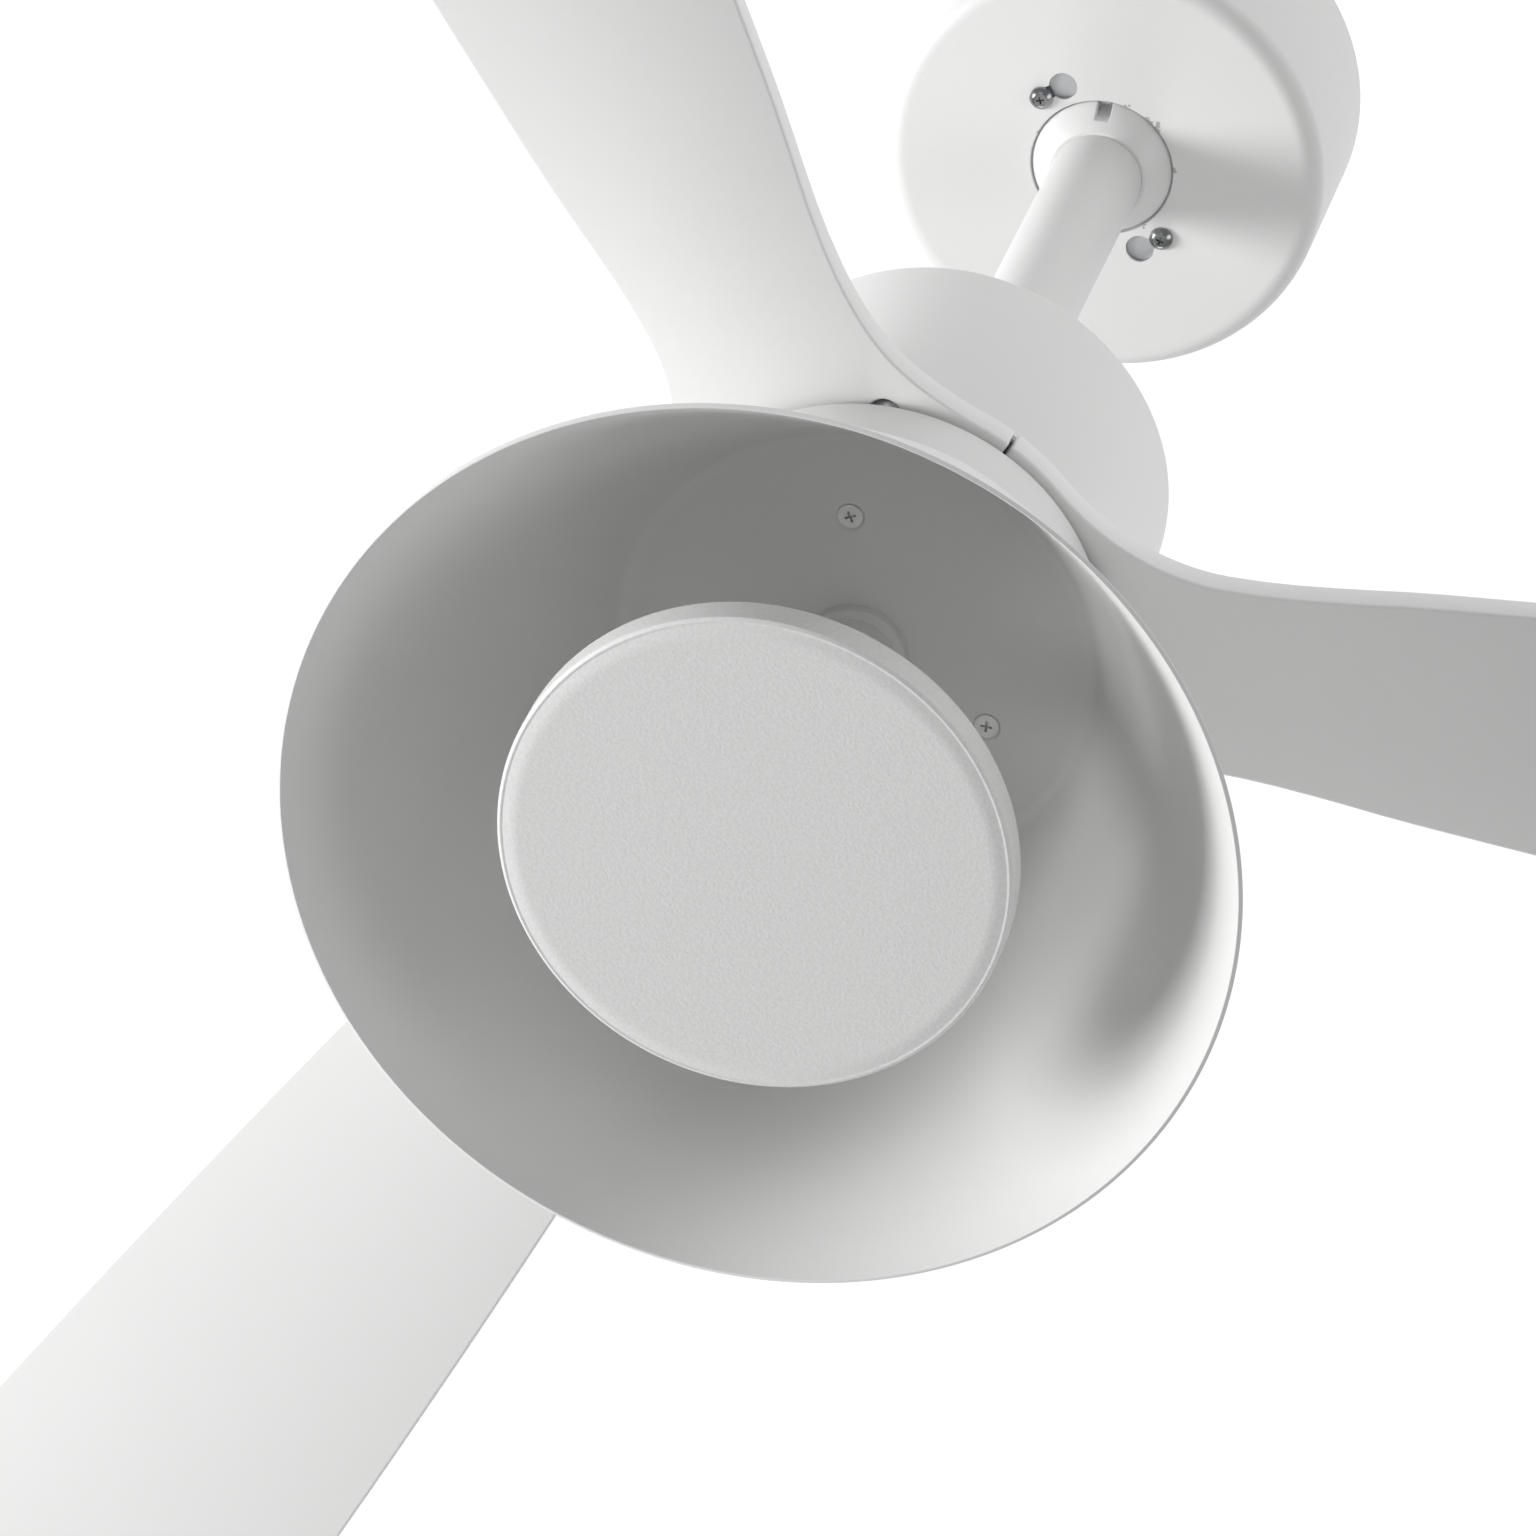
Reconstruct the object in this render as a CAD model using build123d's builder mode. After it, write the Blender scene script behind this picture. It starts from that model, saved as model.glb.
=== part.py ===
from build123d import *
import os

os.makedirs("parts", exist_ok=True)

# Ceiling fan with a down-facing light bowl, hung from a ball joint.
# Millimetres, +Z up. The origin is on the fan axis, in the plane of the ceiling.
# X runs along the ceiling bar, from one fixing slot to the other.

# ---------------------------------------------------------------- overall sizes
overall_drop = 559.0            # ceiling to the underside of the light disc
blade_span = 1320.0             # swept diameter
shade_rim_r = 141.8             # inside of the rim
housing_r = 70.2
base_r = 70.4

# ---------------------------------------------------------------- heights (Z)
canopy_bottom = -71.5
ball_z = -58.0                  # centre of the hanger ball
housing_top = -302.0
blade_top = -389.8
blade_t = 9.7
blade_bottom = blade_top - blade_t
base_gap = 2.1                  # running gap under the blades
base_top = blade_bottom - base_gap
plate_top = -425.7              # upper face of the shade's flat plate
shade_t = 1.5
plate_under = plate_top - shade_t
rim_z = -557.0
disc_bottom = -overall_drop
disc_h = 11.5
disc_top = disc_bottom + disc_h

# ---------------------------------------------------------------- ceiling bar
bar_l = 122.0
bar_w = 36.0
bar_t = 2.5
bar_slot_x = 46.0
bar_slot_w = 5.5
bar_slot_l = 16.0
leg_x = 36.0
leg_t = 2.5
leg_w = 26.0
seat_r_out = 38.0
seat_top = -63.5
seat_bottom = canopy_bottom + 1.5
running_fit = 0.05

# ---------------------------------------------------------------- hanger ball
ball_r = 26.5
ball_top = ball_z + 15.0
ball_bottom = ball_z - 21.0       # hangs below the canopy's face
key_az = -136.6                 # direction of the ball's anti-turn slot
key_w = 3.6
key_in = 22.6
key_slot_w = 4.4
key_slot_floor = 19.0
pin_r = 3.0
ball_pin_z = ball_z + 5.0

# ---------------------------------------------------------------- canopy
canopy_r = 73.5
canopy_t = 1.2
canopy_top = -0.8
canopy_edge_r = 7.0
canopy_hole_r = 24.0
keyhole_r = 31.0                # radius of the two keyholes from the axis
keyhole_slot_w = 4.4
keyhole_big_r = 4.75
keyhole_turn = 16.0             # degrees from the narrow end to the round end
m4_r = 2.0
pan_r = 3.9
pan_h = 2.6

# ---------------------------------------------------------------- rod and coupling
rod_r = 15.0
rod_wall = 2.0
rod_top = -36.0
rod_bottom = -306.0
coupling_r = 19.5
coupling_top = -262.5
coupling_floor = -308.0
coupling_bottom = -324.0
coupling_pin_z = -288.0
grub_z = -272.0
grub_r = 3.0
cover_r = 27.5
cover_t = 1.5
cover_bottom = -299.0

# ---------------------------------------------------------------- motor
housing_t = 2.0
housing_lid_t = 2.5
housing_hole_r = 21.5
housing_edge_r = 3.0
shaft_r = 8.5
shaft_bore_r = 5.5
shaft_top = coupling_floor
shaft_bottom = -414.0
bearing_w = 10.0
race_in_r = 11.5
race_out_r = 17.0
bearing_r = 20.0
ball_count = 8
bearing_ball_r = (race_out_r - race_in_r) / 2 - running_fit
pitch_r = (race_out_r + race_in_r) / 2
upper_bearing_z = -334.5        # middle of the upper bearing
lower_bearing_z = -380.0
hub_r = 24.0
hub_hole_r = 13.0
shield_r = housing_r - housing_t
upper_shield_top = -327.0
shield_t = 3.0
post_r = 4.5
post_at = 45.0
post_count = 4
stator_r = 53.5
stator_hub_r = 24.0
stator_top = -344.0
stator_bottom = -370.0
tooth_count = 12
tooth_w = 7.0
shoe_t = 4.0
coil_t = 2.6
magnet_in_r = 54.3
magnet_out_r = 58.0
yoke_out_r = 62.0
magnet_count = 14

# ---------------------------------------------------------------- blades
blade_count = 3
blade_az = 75.5                 # centre line of the first blade
hub_circle_r = 72.2
blade_hole_r = 22.0
mitre_gap = 1.5
blade_screw_at = 65.6
blade_screw_lead = 27.5         # degrees from the blade's centre line
blade_screw_trail = -20.0
blade_screw_in = 38.0
screw_sink_r = 5.2
screw_sink_d = 3.6
screw_head_r = 4.3
screw_head_h = 2.8
pitch_neck = 4.0
pitch_tip = 7.0
tip_t = 7.0

# ---------------------------------------------------------------- light
base_t = 2.0
base_lid_t = 3.0
base_nut_af = 24.0
shade_screw_at = 44.8
shade_screw_az = (-141.4, -21.2, 98.8)
shade_post_r = 6.0
csk_r = 4.65
m5_r = 2.5
corner_r = 6.0
plate_edge_r = 72.4             # where the flat plate turns into the cone
stem_r = 13.0
stem_bore_r = 10.5
stem_collar_r = 15.8
stem_collar_h = 4.0
spigot_r = 6.0
spigot_bore_r = 4.0
spigot_top = -417.5
stem_nut_af = 19.0
disc_r = 76.5
disc_wall = 2.0
disc_edge_r = 6.0
foot_r = 20.0
foot_t = 2.5
board_in_r = 23.0
board_t = 1.6
board_gap = 3.0
chip_count = 24
chip_at = 54.0
diffuser_t = 2.0


# ================================================================ ceiling mount
with BuildPart() as ceiling_bracket:
    with BuildSketch(Plane.XY.offset(-bar_t)):
        RectangleRounded(bar_l, bar_w, 4.0)
        with Locations((-bar_slot_x, 0), (bar_slot_x, 0)):
            SlotOverall(bar_slot_l, bar_slot_w, mode=Mode.SUBTRACT)
    extrude(amount=bar_t)
    with BuildSketch(Plane.XY.offset(seat_top)):
        with Locations((-leg_x, 0), (leg_x, 0)):
            Rectangle(leg_t, leg_w)
    extrude(amount=-bar_t - seat_top)
    with BuildSketch(Plane.XY.offset(seat_bottom)):
        Circle(seat_r_out)
    extrude(amount=seat_top - seat_bottom)
    with Locations((0, 0, ball_z)):
        Sphere(ball_r + running_fit, mode=Mode.SUBTRACT)
    with BuildSketch(Plane.XY.offset(seat_bottom).rotated((0, 0, key_az))):
        with Locations(((key_in + 28.0) / 2, 0)):
            Rectangle(28.0 - key_in, key_w)
    extrude(amount=seat_top - seat_bottom)
    with BuildSketch(Plane.XY.offset(seat_bottom)):
        with Locations((-keyhole_r, 0), (keyhole_r, 0)):
            Circle(m4_r)
    extrude(amount=seat_top - seat_bottom, mode=Mode.SUBTRACT)
ceiling_bracket.part.label = "ceiling_bracket"

with BuildPart() as canopy_screws:
    with BuildSketch(Plane.XY.offset(canopy_bottom - pan_h)):
        with Locations((-keyhole_r, 0), (keyhole_r, 0)):
            Circle(pan_r)
    extrude(amount=pan_h)
    head_rims = canopy_screws.edges().group_by(Axis.Z)[0]
    fillet(head_rims, 1.2)
    with BuildSketch(Plane.XY.offset(canopy_bottom)):
        with Locations((-keyhole_r, 0), (keyhole_r, 0)):
            Circle(m4_r)
    extrude(amount=seat_top - canopy_bottom)
    with BuildSketch(Plane.XY.offset(canopy_bottom - pan_h)):
        with Locations((-keyhole_r, 0), (keyhole_r, 0)):
            Rectangle(3.6, 0.8)
            Rectangle(0.8, 3.6)
    extrude(amount=1.4, mode=Mode.SUBTRACT)
canopy_screws.part.label = "canopy_screws"

receiver_l = 46.0
receiver_w = 26.0
receiver_h = 20.0
receiver_x = -8.0
with BuildPart() as receiver_box:
    with BuildSketch(Plane.XY.offset(-bar_t - receiver_h)):
        with Locations((receiver_x, 0)):
            RectangleRounded(receiver_l, receiver_w, 2.0)
    extrude(amount=receiver_h)
receiver_box.part.label = "receiver_box"

block_x = 24.0
with BuildPart() as terminal_block:
    with BuildSketch(Plane.XY.offset(-bar_t - 14.0)):
        with Locations((block_x, 0)):
            Rectangle(12.0, 24.0)
    extrude(amount=14.0)
    with BuildSketch(Plane.XY.offset(-bar_t - 14.0)):
        with GridLocations(6.0, 8.0, 1, 3):
            with Locations((block_x, 0)):
                Circle(1.8)
    extrude(amount=5.0, mode=Mode.SUBTRACT)
terminal_block.part.label = "terminal_block"

# ================================================================ canopy
keyhole_arcs = {
    side: CenterArc((0, 0), keyhole_r, side - 3.0, keyhole_turn + 3.0) for side in (0, 180)
}
with BuildPart() as canopy:
    with BuildSketch(Plane.XZ):
        with BuildLine():
            FilletPolyline((0, canopy_bottom), (canopy_r, canopy_bottom),
                           (canopy_r, canopy_top), radius=canopy_edge_r)
            offset(amount=canopy_t, side=Side.LEFT, closed=True)
        make_face()
    revolve(axis=Axis.Z)
    with BuildSketch(Plane.XY.offset(canopy_bottom)):
        Circle(canopy_hole_r)
        for side in (0, 180):
            SlotArc(keyhole_arcs[side], keyhole_slot_w)
            with PolarLocations(keyhole_r, 1, start_angle=side + keyhole_turn):
                Circle(keyhole_big_r)
    extrude(amount=canopy_t, mode=Mode.SUBTRACT)
canopy.part.label = "canopy"

# ================================================================ hanger: ball and rod
pin_dir = key_az + 90.0
with BuildPart() as hanger_ball:
    with Locations((0, 0, ball_z)):
        Sphere(ball_r)
    split(bisect_by=Plane.XY.offset(ball_top), keep=Keep.BOTTOM)
    split(bisect_by=Plane.XY.offset(ball_bottom), keep=Keep.TOP)
    with BuildSketch(Plane.XY.offset(ball_bottom)):
        Circle(rod_r)
    extrude(amount=ball_top - ball_bottom, mode=Mode.SUBTRACT)
    with BuildSketch(Plane.XY.offset(ball_bottom).rotated((0, 0, key_az))):
        with Locations(((key_slot_floor + 30.0) / 2, 0)):
            Rectangle(30.0 - key_slot_floor, key_slot_w)
    extrude(amount=ball_top - ball_bottom, mode=Mode.SUBTRACT)
    with Locations(Location((0, 0, ball_pin_z), (0, 0, pin_dir))):
        Cylinder(pin_r, 80.0, rotation=(0, 90, 0), mode=Mode.SUBTRACT)
hanger_ball.part.label = "hanger_ball"

with BuildPart() as ball_pin:
    with Locations(Location((0, 0, ball_pin_z), (0, 0, pin_dir))):
        Cylinder(pin_r, 2 * ball_r - 5.0, rotation=(0, 90, 0))
ball_pin.part.label = "ball_pin"

with BuildPart() as downrod:
    with BuildSketch(Plane.XY.offset(rod_bottom)):
        Circle(rod_r)
        Circle(rod_r - rod_wall, mode=Mode.SUBTRACT)
    extrude(amount=rod_top - rod_bottom)
    with Locations(Location((0, 0, ball_pin_z), (0, 0, pin_dir))):
        Cylinder(pin_r, 80.0, rotation=(0, 90, 0), mode=Mode.SUBTRACT)
    with Locations((0, 0, coupling_pin_z)):
        Cylinder(pin_r, 80.0, rotation=(0, 90, 0), mode=Mode.SUBTRACT)
downrod.part.label = "downrod"

with BuildPart() as rod_coupling:
    with BuildSketch(Plane.XY.offset(coupling_bottom)):
        Circle(coupling_r)
    extrude(amount=coupling_top - coupling_bottom)
    with BuildSketch(Plane.XY.offset(coupling_floor)):
        Circle(rod_r)
    extrude(amount=coupling_top - coupling_floor, mode=Mode.SUBTRACT)
    with BuildSketch(Plane.XY.offset(coupling_bottom)):
        Circle(shaft_r)
    extrude(amount=coupling_floor - coupling_bottom, mode=Mode.SUBTRACT)
    with Locations((0, 0, coupling_pin_z)):
        Cylinder(pin_r, 80.0, rotation=(0, 90, 0), mode=Mode.SUBTRACT)
    with Locations((0, 0, grub_z)):
        Cylinder(grub_r, 80.0, rotation=(90, 0, 0), mode=Mode.SUBTRACT)
rod_coupling.part.label = "rod_coupling"

with BuildPart() as coupling_pin:
    with Locations((0, 0, coupling_pin_z)):
        Cylinder(pin_r, 2 * coupling_r + 4.0, rotation=(0, 90, 0))
coupling_pin.part.label = "coupling_pin"

grub_l = 5.5
with BuildPart() as grub_screws:
    for side in (-1, 1):
        with Locations((0, side * (rod_r + grub_l / 2), grub_z)):
            Cylinder(grub_r, grub_l, rotation=(90, 0, 0))
        with Locations((0, side * (rod_r + grub_l - 1.0), grub_z)):
            Box(3.2, 2.4, 0.8, mode=Mode.SUBTRACT)
grub_screws.part.label = "grub_screws"

with BuildPart() as coupling_cover:
    with BuildSketch(Plane.XZ):
        with BuildLine():
            FilletPolyline((0, coupling_top + cover_t), (cover_r, coupling_top + cover_t),
                           (cover_r, cover_bottom), radius=4.0)
            offset(amount=cover_t, side=Side.RIGHT, closed=True)
        make_face()
    revolve(axis=Axis.Z)
    with BuildSketch(Plane.XY.offset(coupling_top)):
        Circle(rod_r)
    extrude(amount=cover_t, mode=Mode.SUBTRACT)
coupling_cover.part.label = "coupling_cover"

# ================================================================ motor, still parts
with BuildPart() as motor_shaft:
    with BuildSketch(Plane.XY.offset(shaft_bottom)):
        Circle(shaft_r)
        Circle(shaft_bore_r, mode=Mode.SUBTRACT)
    extrude(amount=shaft_top - shaft_bottom)
motor_shaft.part.label = "motor_shaft"

with BuildPart() as bearing_inner_rings:
    for z_mid in (upper_bearing_z, lower_bearing_z):
        with BuildSketch(Plane.XY.offset(z_mid - bearing_w / 2)):
            Circle(race_in_r)
            Circle(shaft_r, mode=Mode.SUBTRACT)
        extrude(amount=bearing_w)
bearing_inner_rings.part.label = "bearing_inner_rings"

tooth_mid = (stator_hub_r + stator_r - shoe_t) / 2
tooth_l = stator_r - shoe_t - stator_hub_r
with BuildPart() as stator_core:
    with BuildSketch(Plane.XY.offset(stator_bottom)):
        Circle(stator_r)
        Circle(stator_r - shoe_t, mode=Mode.SUBTRACT)
        with PolarLocations(stator_r, tooth_count, start_angle=180 / tooth_count):
            Rectangle(3 * shoe_t, 3.0, mode=Mode.SUBTRACT)
        Circle(stator_hub_r)
        with PolarLocations(tooth_mid, tooth_count):
            Rectangle(tooth_l + 2.0, tooth_w)
        Circle(shaft_r, mode=Mode.SUBTRACT)
    extrude(amount=stator_top - stator_bottom)
stator_core.part.label = "stator_core"

stator_h = stator_top - stator_bottom
with BuildPart() as stator_windings:
    with BuildSketch(Plane.XY.offset(stator_bottom - coil_t)):
        with PolarLocations(tooth_mid + 2.0, tooth_count):
            Rectangle(tooth_l - 6.0, tooth_w + 2 * coil_t)
    extrude(amount=stator_h + 2 * coil_t)
    with BuildSketch(Plane.XY.offset(stator_bottom)):
        with PolarLocations(tooth_mid, tooth_count):
            Rectangle(tooth_l + 2.0, tooth_w)
    extrude(amount=stator_h, mode=Mode.SUBTRACT)
stator_windings.part.label = "stator_windings"

# ================================================================ bearings, rolling parts
with BuildPart() as bearing_cages:
    for z_mid in (upper_bearing_z, lower_bearing_z):
        with BuildSketch(Plane.XY.offset(z_mid - 1.6)):
            Circle(pitch_r + 0.8)
            Circle(pitch_r - 0.8, mode=Mode.SUBTRACT)
        extrude(amount=3.2)
        with Locations((0, 0, z_mid)):
            with PolarLocations(pitch_r, ball_count):
                Sphere(bearing_ball_r)
bearing_cages.part.label = "bearing_cages"

# ================================================================ rotor
with BuildPart() as bearing_outer_rings:
    for z_mid in (upper_bearing_z, lower_bearing_z):
        with BuildSketch(Plane.XY.offset(z_mid - bearing_w / 2)):
            Circle(bearing_r)
            Circle(race_out_r, mode=Mode.SUBTRACT)
        extrude(amount=bearing_w)
bearing_outer_rings.part.label = "bearing_outer_rings"

with BuildPart() as motor_housing:
    with BuildSketch(Plane.XY.offset(blade_top)):
        Circle(housing_r)
    extrude(amount=housing_top - blade_top)
    fillet(motor_housing.edges().group_by(Axis.Z)[-1], housing_edge_r)
    with BuildSketch(Plane.XY.offset(blade_top)):
        Circle(shield_r)
    extrude(amount=housing_top - housing_lid_t - blade_top, mode=Mode.SUBTRACT)
    with BuildSketch(Plane.XY.offset(housing_top - housing_lid_t)):
        Circle(housing_hole_r)
        with PolarLocations(post_at, post_count):
            Circle(m4_r)
    extrude(amount=housing_lid_t, mode=Mode.SUBTRACT)
motor_housing.part.label = "motor_housing"

with BuildPart() as upper_shield:
    with BuildSketch(Plane.XY.offset(upper_shield_top - shield_t)):
        Circle(shield_r)
    extrude(amount=shield_t)
    with BuildSketch(Plane.XY.offset(upper_bearing_z - bearing_w / 2)):
        Circle(hub_r)
    extrude(amount=upper_shield_top - upper_bearing_z + bearing_w / 2)
    with BuildSketch(Plane.XY.offset(upper_shield_top)):
        with PolarLocations(post_at, post_count):
            Circle(post_r)
    extrude(amount=housing_top - housing_lid_t - upper_shield_top)
    with BuildSketch(Plane.XY.offset(upper_bearing_z - bearing_w / 2)):
        Circle(bearing_r)
    extrude(amount=bearing_w, mode=Mode.SUBTRACT)
    with BuildSketch(Plane.XY.offset(upper_bearing_z)):
        Circle(hub_hole_r)
    extrude(amount=20.0, mode=Mode.SUBTRACT)
    with BuildSketch(Plane.XY.offset(upper_shield_top)):
        with PolarLocations(post_at, post_count):
            Circle(m4_r)
    extrude(amount=30.0, mode=Mode.SUBTRACT)
    with BuildSketch(Plane.XY.offset(upper_shield_top - shield_t)):
        with PolarLocations(post_at, post_count, start_angle=45):
            Circle(7.0)
    extrude(amount=shield_t, mode=Mode.SUBTRACT)
upper_shield.part.label = "upper_shield"

with BuildPart() as housing_screws:
    with BuildSketch(Plane.XY.offset(upper_shield_top)):
        with PolarLocations(post_at, post_count):
            Circle(m4_r)
    extrude(amount=housing_top - upper_shield_top)
    with BuildSketch(Plane.XY.offset(housing_top)):
        with PolarLocations(post_at, post_count):
            Circle(pan_r)
    extrude(amount=pan_h)
    fillet(housing_screws.edges().group_by(Axis.Z)[-1], 1.2)
    with BuildSketch(Plane.XY.offset(housing_top + pan_h)):
        with PolarLocations(post_at, post_count):
            Rectangle(3.6, 0.8)
            Rectangle(0.8, 3.6)
    extrude(amount=-1.4, mode=Mode.SUBTRACT)
housing_screws.part.label = "housing_screws"

with BuildPart() as lower_shield:
    with BuildSketch(Plane.XY.offset(blade_top)):
        Circle(shield_r)
    extrude(amount=shield_t)
    with BuildSketch(Plane.XY.offset(blade_top)):
        Circle(hub_r)
    extrude(amount=lower_bearing_z + bearing_w / 2 - blade_top)
    with BuildSketch(Plane.XY.offset(lower_bearing_z - bearing_w / 2)):
        Circle(bearing_r)
    extrude(amount=bearing_w, mode=Mode.SUBTRACT)
    with BuildSketch(Plane.XY.offset(blade_top)):
        Circle(hub_hole_r)
        for k in range(blade_count):
            az = blade_az + k * 360 / blade_count
            for off in (blade_screw_trail, blade_screw_lead):
                with PolarLocations(blade_screw_at, 1, start_angle=az + off):
                    Circle(m4_r)
            with PolarLocations(blade_screw_in, 1, start_angle=az):
                Circle(m4_r)
    extrude(amount=10.0, mode=Mode.SUBTRACT)
lower_shield.part.label = "lower_shield"

yoke_bottom = blade_top + shield_t
with BuildPart() as rotor_yoke:
    with BuildSketch(Plane.XY.offset(yoke_bottom)):
        Circle(yoke_out_r)
        Circle(magnet_out_r, mode=Mode.SUBTRACT)
    extrude(amount=upper_shield_top - shield_t - yoke_bottom)
rotor_yoke.part.label = "rotor_yoke"

with BuildPart() as magnets:
    with BuildSketch(Plane.XY.offset(stator_bottom - 2.0)):
        Circle(magnet_out_r)
        Circle(magnet_in_r, mode=Mode.SUBTRACT)
        with PolarLocations(magnet_out_r - 2.0, magnet_count):
            Rectangle(9.0, 1.6, mode=Mode.SUBTRACT)
    extrude(amount=stator_h + 4.0)
magnets.part.label = "magnets"

# ---------------------------------------------------------------- blades
tip_r = blade_span / 2
blade_mid_z = blade_top - blade_t / 2
wide_u = 0.86 * tip_r
with BuildPart() as pitch_slab:
    with Locations((hub_circle_r / 2, 0, blade_mid_z)):
        Box(hub_circle_r, 2 * hub_circle_r + 20.0, blade_t)
    slab_w = 2 * hub_circle_r + 20.0
    stations = (
        (hub_circle_r, 0.0, blade_t),
        (0.08 * blade_span, 0.4 * pitch_neck, blade_t),
        (0.11 * blade_span, pitch_neck, blade_t),
        (0.32 * blade_span, (pitch_neck + pitch_tip) / 2, (blade_t + tip_t) / 2),
        (tip_r + 10.0, pitch_tip, tip_t),
    )
    for reach, turn, thick in stations:
        with BuildSketch(Plane((reach, 0, blade_mid_z), x_dir=(0, 1, 0), z_dir=(1, 0, 0))):
            Rectangle(slab_w, thick, rotation=turn)
    loft(ruled=True)

# Each edge leaves the hub circle, narrows to the neck, then widens towards the tip.
# widening pairs a share of the way from neck to widest point with a share of the growth.
neck_u = 104.0
neck_lead = 35.8
neck_trail = -27.4
root_lead = (76.0, 39.2)
root_trail = (74.0, -34.2)
lead_az = 52.0
trail_az = -45.0
tip_half = 66.0
tip_shift = 3.0
tip_round = 40.0
widening = ((0.14, 0.20), (0.28, 0.38), (0.42, 0.54), (0.56, 0.68), (0.70, 0.80), (0.85, 0.92))
on_lead = Vector(hub_circle_r, 0).rotate(Axis.Z, lead_az)
on_trail = Vector(hub_circle_r, 0).rotate(Axis.Z, trail_az)
lead_dir = Vector(0, -1).rotate(Axis.Z, lead_az)
trail_dir = Vector(0, 1).rotate(Axis.Z, trail_az)
wide_lead = tip_shift + tip_half
wide_trail = tip_shift - tip_half
lead_edge = [
    (neck_u + a * (wide_u - neck_u), neck_lead + b * (wide_lead - neck_lead))
    for a, b in ((0, 0), *widening, (1, 1))
]
trail_edge = [
    (neck_u + a * (wide_u - neck_u), neck_trail + b * (wide_trail - neck_trail))
    for a, b in ((0, 0), *widening, (1, 1))
]
tip_lead = (tip_r, wide_lead - tip_round)
tip_trail = (tip_r, wide_trail + tip_round)
with BuildPart() as blade_blank:
    with BuildSketch(Plane.XY.offset(blade_bottom - 60.0)):
        with BuildLine():
            Spline(on_lead, root_lead, lead_edge[0], tangents=(lead_dir, (1, 0)))
            Spline(*lead_edge, tangents=((1, 0), (1, 0)))
            Spline(lead_edge[-1], tip_lead, tangents=((1, 0), (0, -1)))
            Line(tip_lead, tip_trail)
            Spline(tip_trail, trail_edge[-1], tangents=((0, -1), (-1, 0)))
            Spline(*reversed(trail_edge), tangents=((-1, 0), (-1, 0)))
            Spline(trail_edge[0], root_trail, on_trail, tangents=((-1, 0), -trail_dir))
            Line(on_trail, (20.0, 0.0))
            Line((20.0, 0.0), on_lead)
        make_face()
        Circle(hub_circle_r)
        half_gap = mitre_gap / 2
        for turn in (60.0, -60.0):
            flip = 1 if turn > 0 else -1
            with Locations(Location((0, 0, 0), (0, 0, turn))):
                with Locations((0, flip * (75.0 - half_gap))):
                    Rectangle(220.0, 150.0, mode=Mode.SUBTRACT)
        with Locations((-60.0, 0)):
            Rectangle(120.0, 200.0, mode=Mode.SUBTRACT)
        Circle(blade_hole_r, mode=Mode.SUBTRACT)
    extrude(amount=120.0)
    add(pitch_slab.part, mode=Mode.INTERSECT)
    for off, reach in ((blade_screw_trail, blade_screw_at), (blade_screw_lead, blade_screw_at),
                       (0.0, blade_screw_in)):
        with BuildSketch(Plane.XY.offset(blade_bottom)):
            with PolarLocations(reach, 1, start_angle=off):
                Circle(screw_sink_r)
        extrude(amount=screw_sink_d, mode=Mode.SUBTRACT)
        with BuildSketch(Plane.XY.offset(blade_bottom)):
            with PolarLocations(reach, 1, start_angle=off):
                Circle(m4_r)
        extrude(amount=blade_t, mode=Mode.SUBTRACT)

blades = []
for k in range(blade_count):
    turn = blade_az + k * 360 / blade_count
    blade = Rot(0, 0, turn) * blade_blank.part
    blade.label = f"blade_{k + 1}"
    blades.append(blade)

sink_z = blade_bottom + screw_sink_d
with BuildPart() as blade_screws:
    for k in range(blade_count):
        az = blade_az + k * 360 / blade_count
        for off, reach in ((blade_screw_trail, blade_screw_at), (blade_screw_lead, blade_screw_at),
                           (0.0, blade_screw_in)):
            with BuildSketch(Plane.XY.offset(sink_z - screw_head_h)):
                with PolarLocations(reach, 1, start_angle=az + off):
                    Circle(screw_head_r)
            extrude(amount=screw_head_h)
            with BuildSketch(Plane.XY.offset(sink_z)):
                with PolarLocations(reach, 1, start_angle=az + off):
                    Circle(m4_r)
            extrude(amount=yoke_bottom - sink_z)
            with BuildSketch(Plane.XY.offset(sink_z - screw_head_h)):
                with PolarLocations(reach, 1, start_angle=az + off):
                    Rectangle(4.2, 0.9)
                    Rectangle(0.9, 4.2)
            extrude(amount=1.4, mode=Mode.SUBTRACT)
blade_screws.part.label = "blade_screws"

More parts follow.
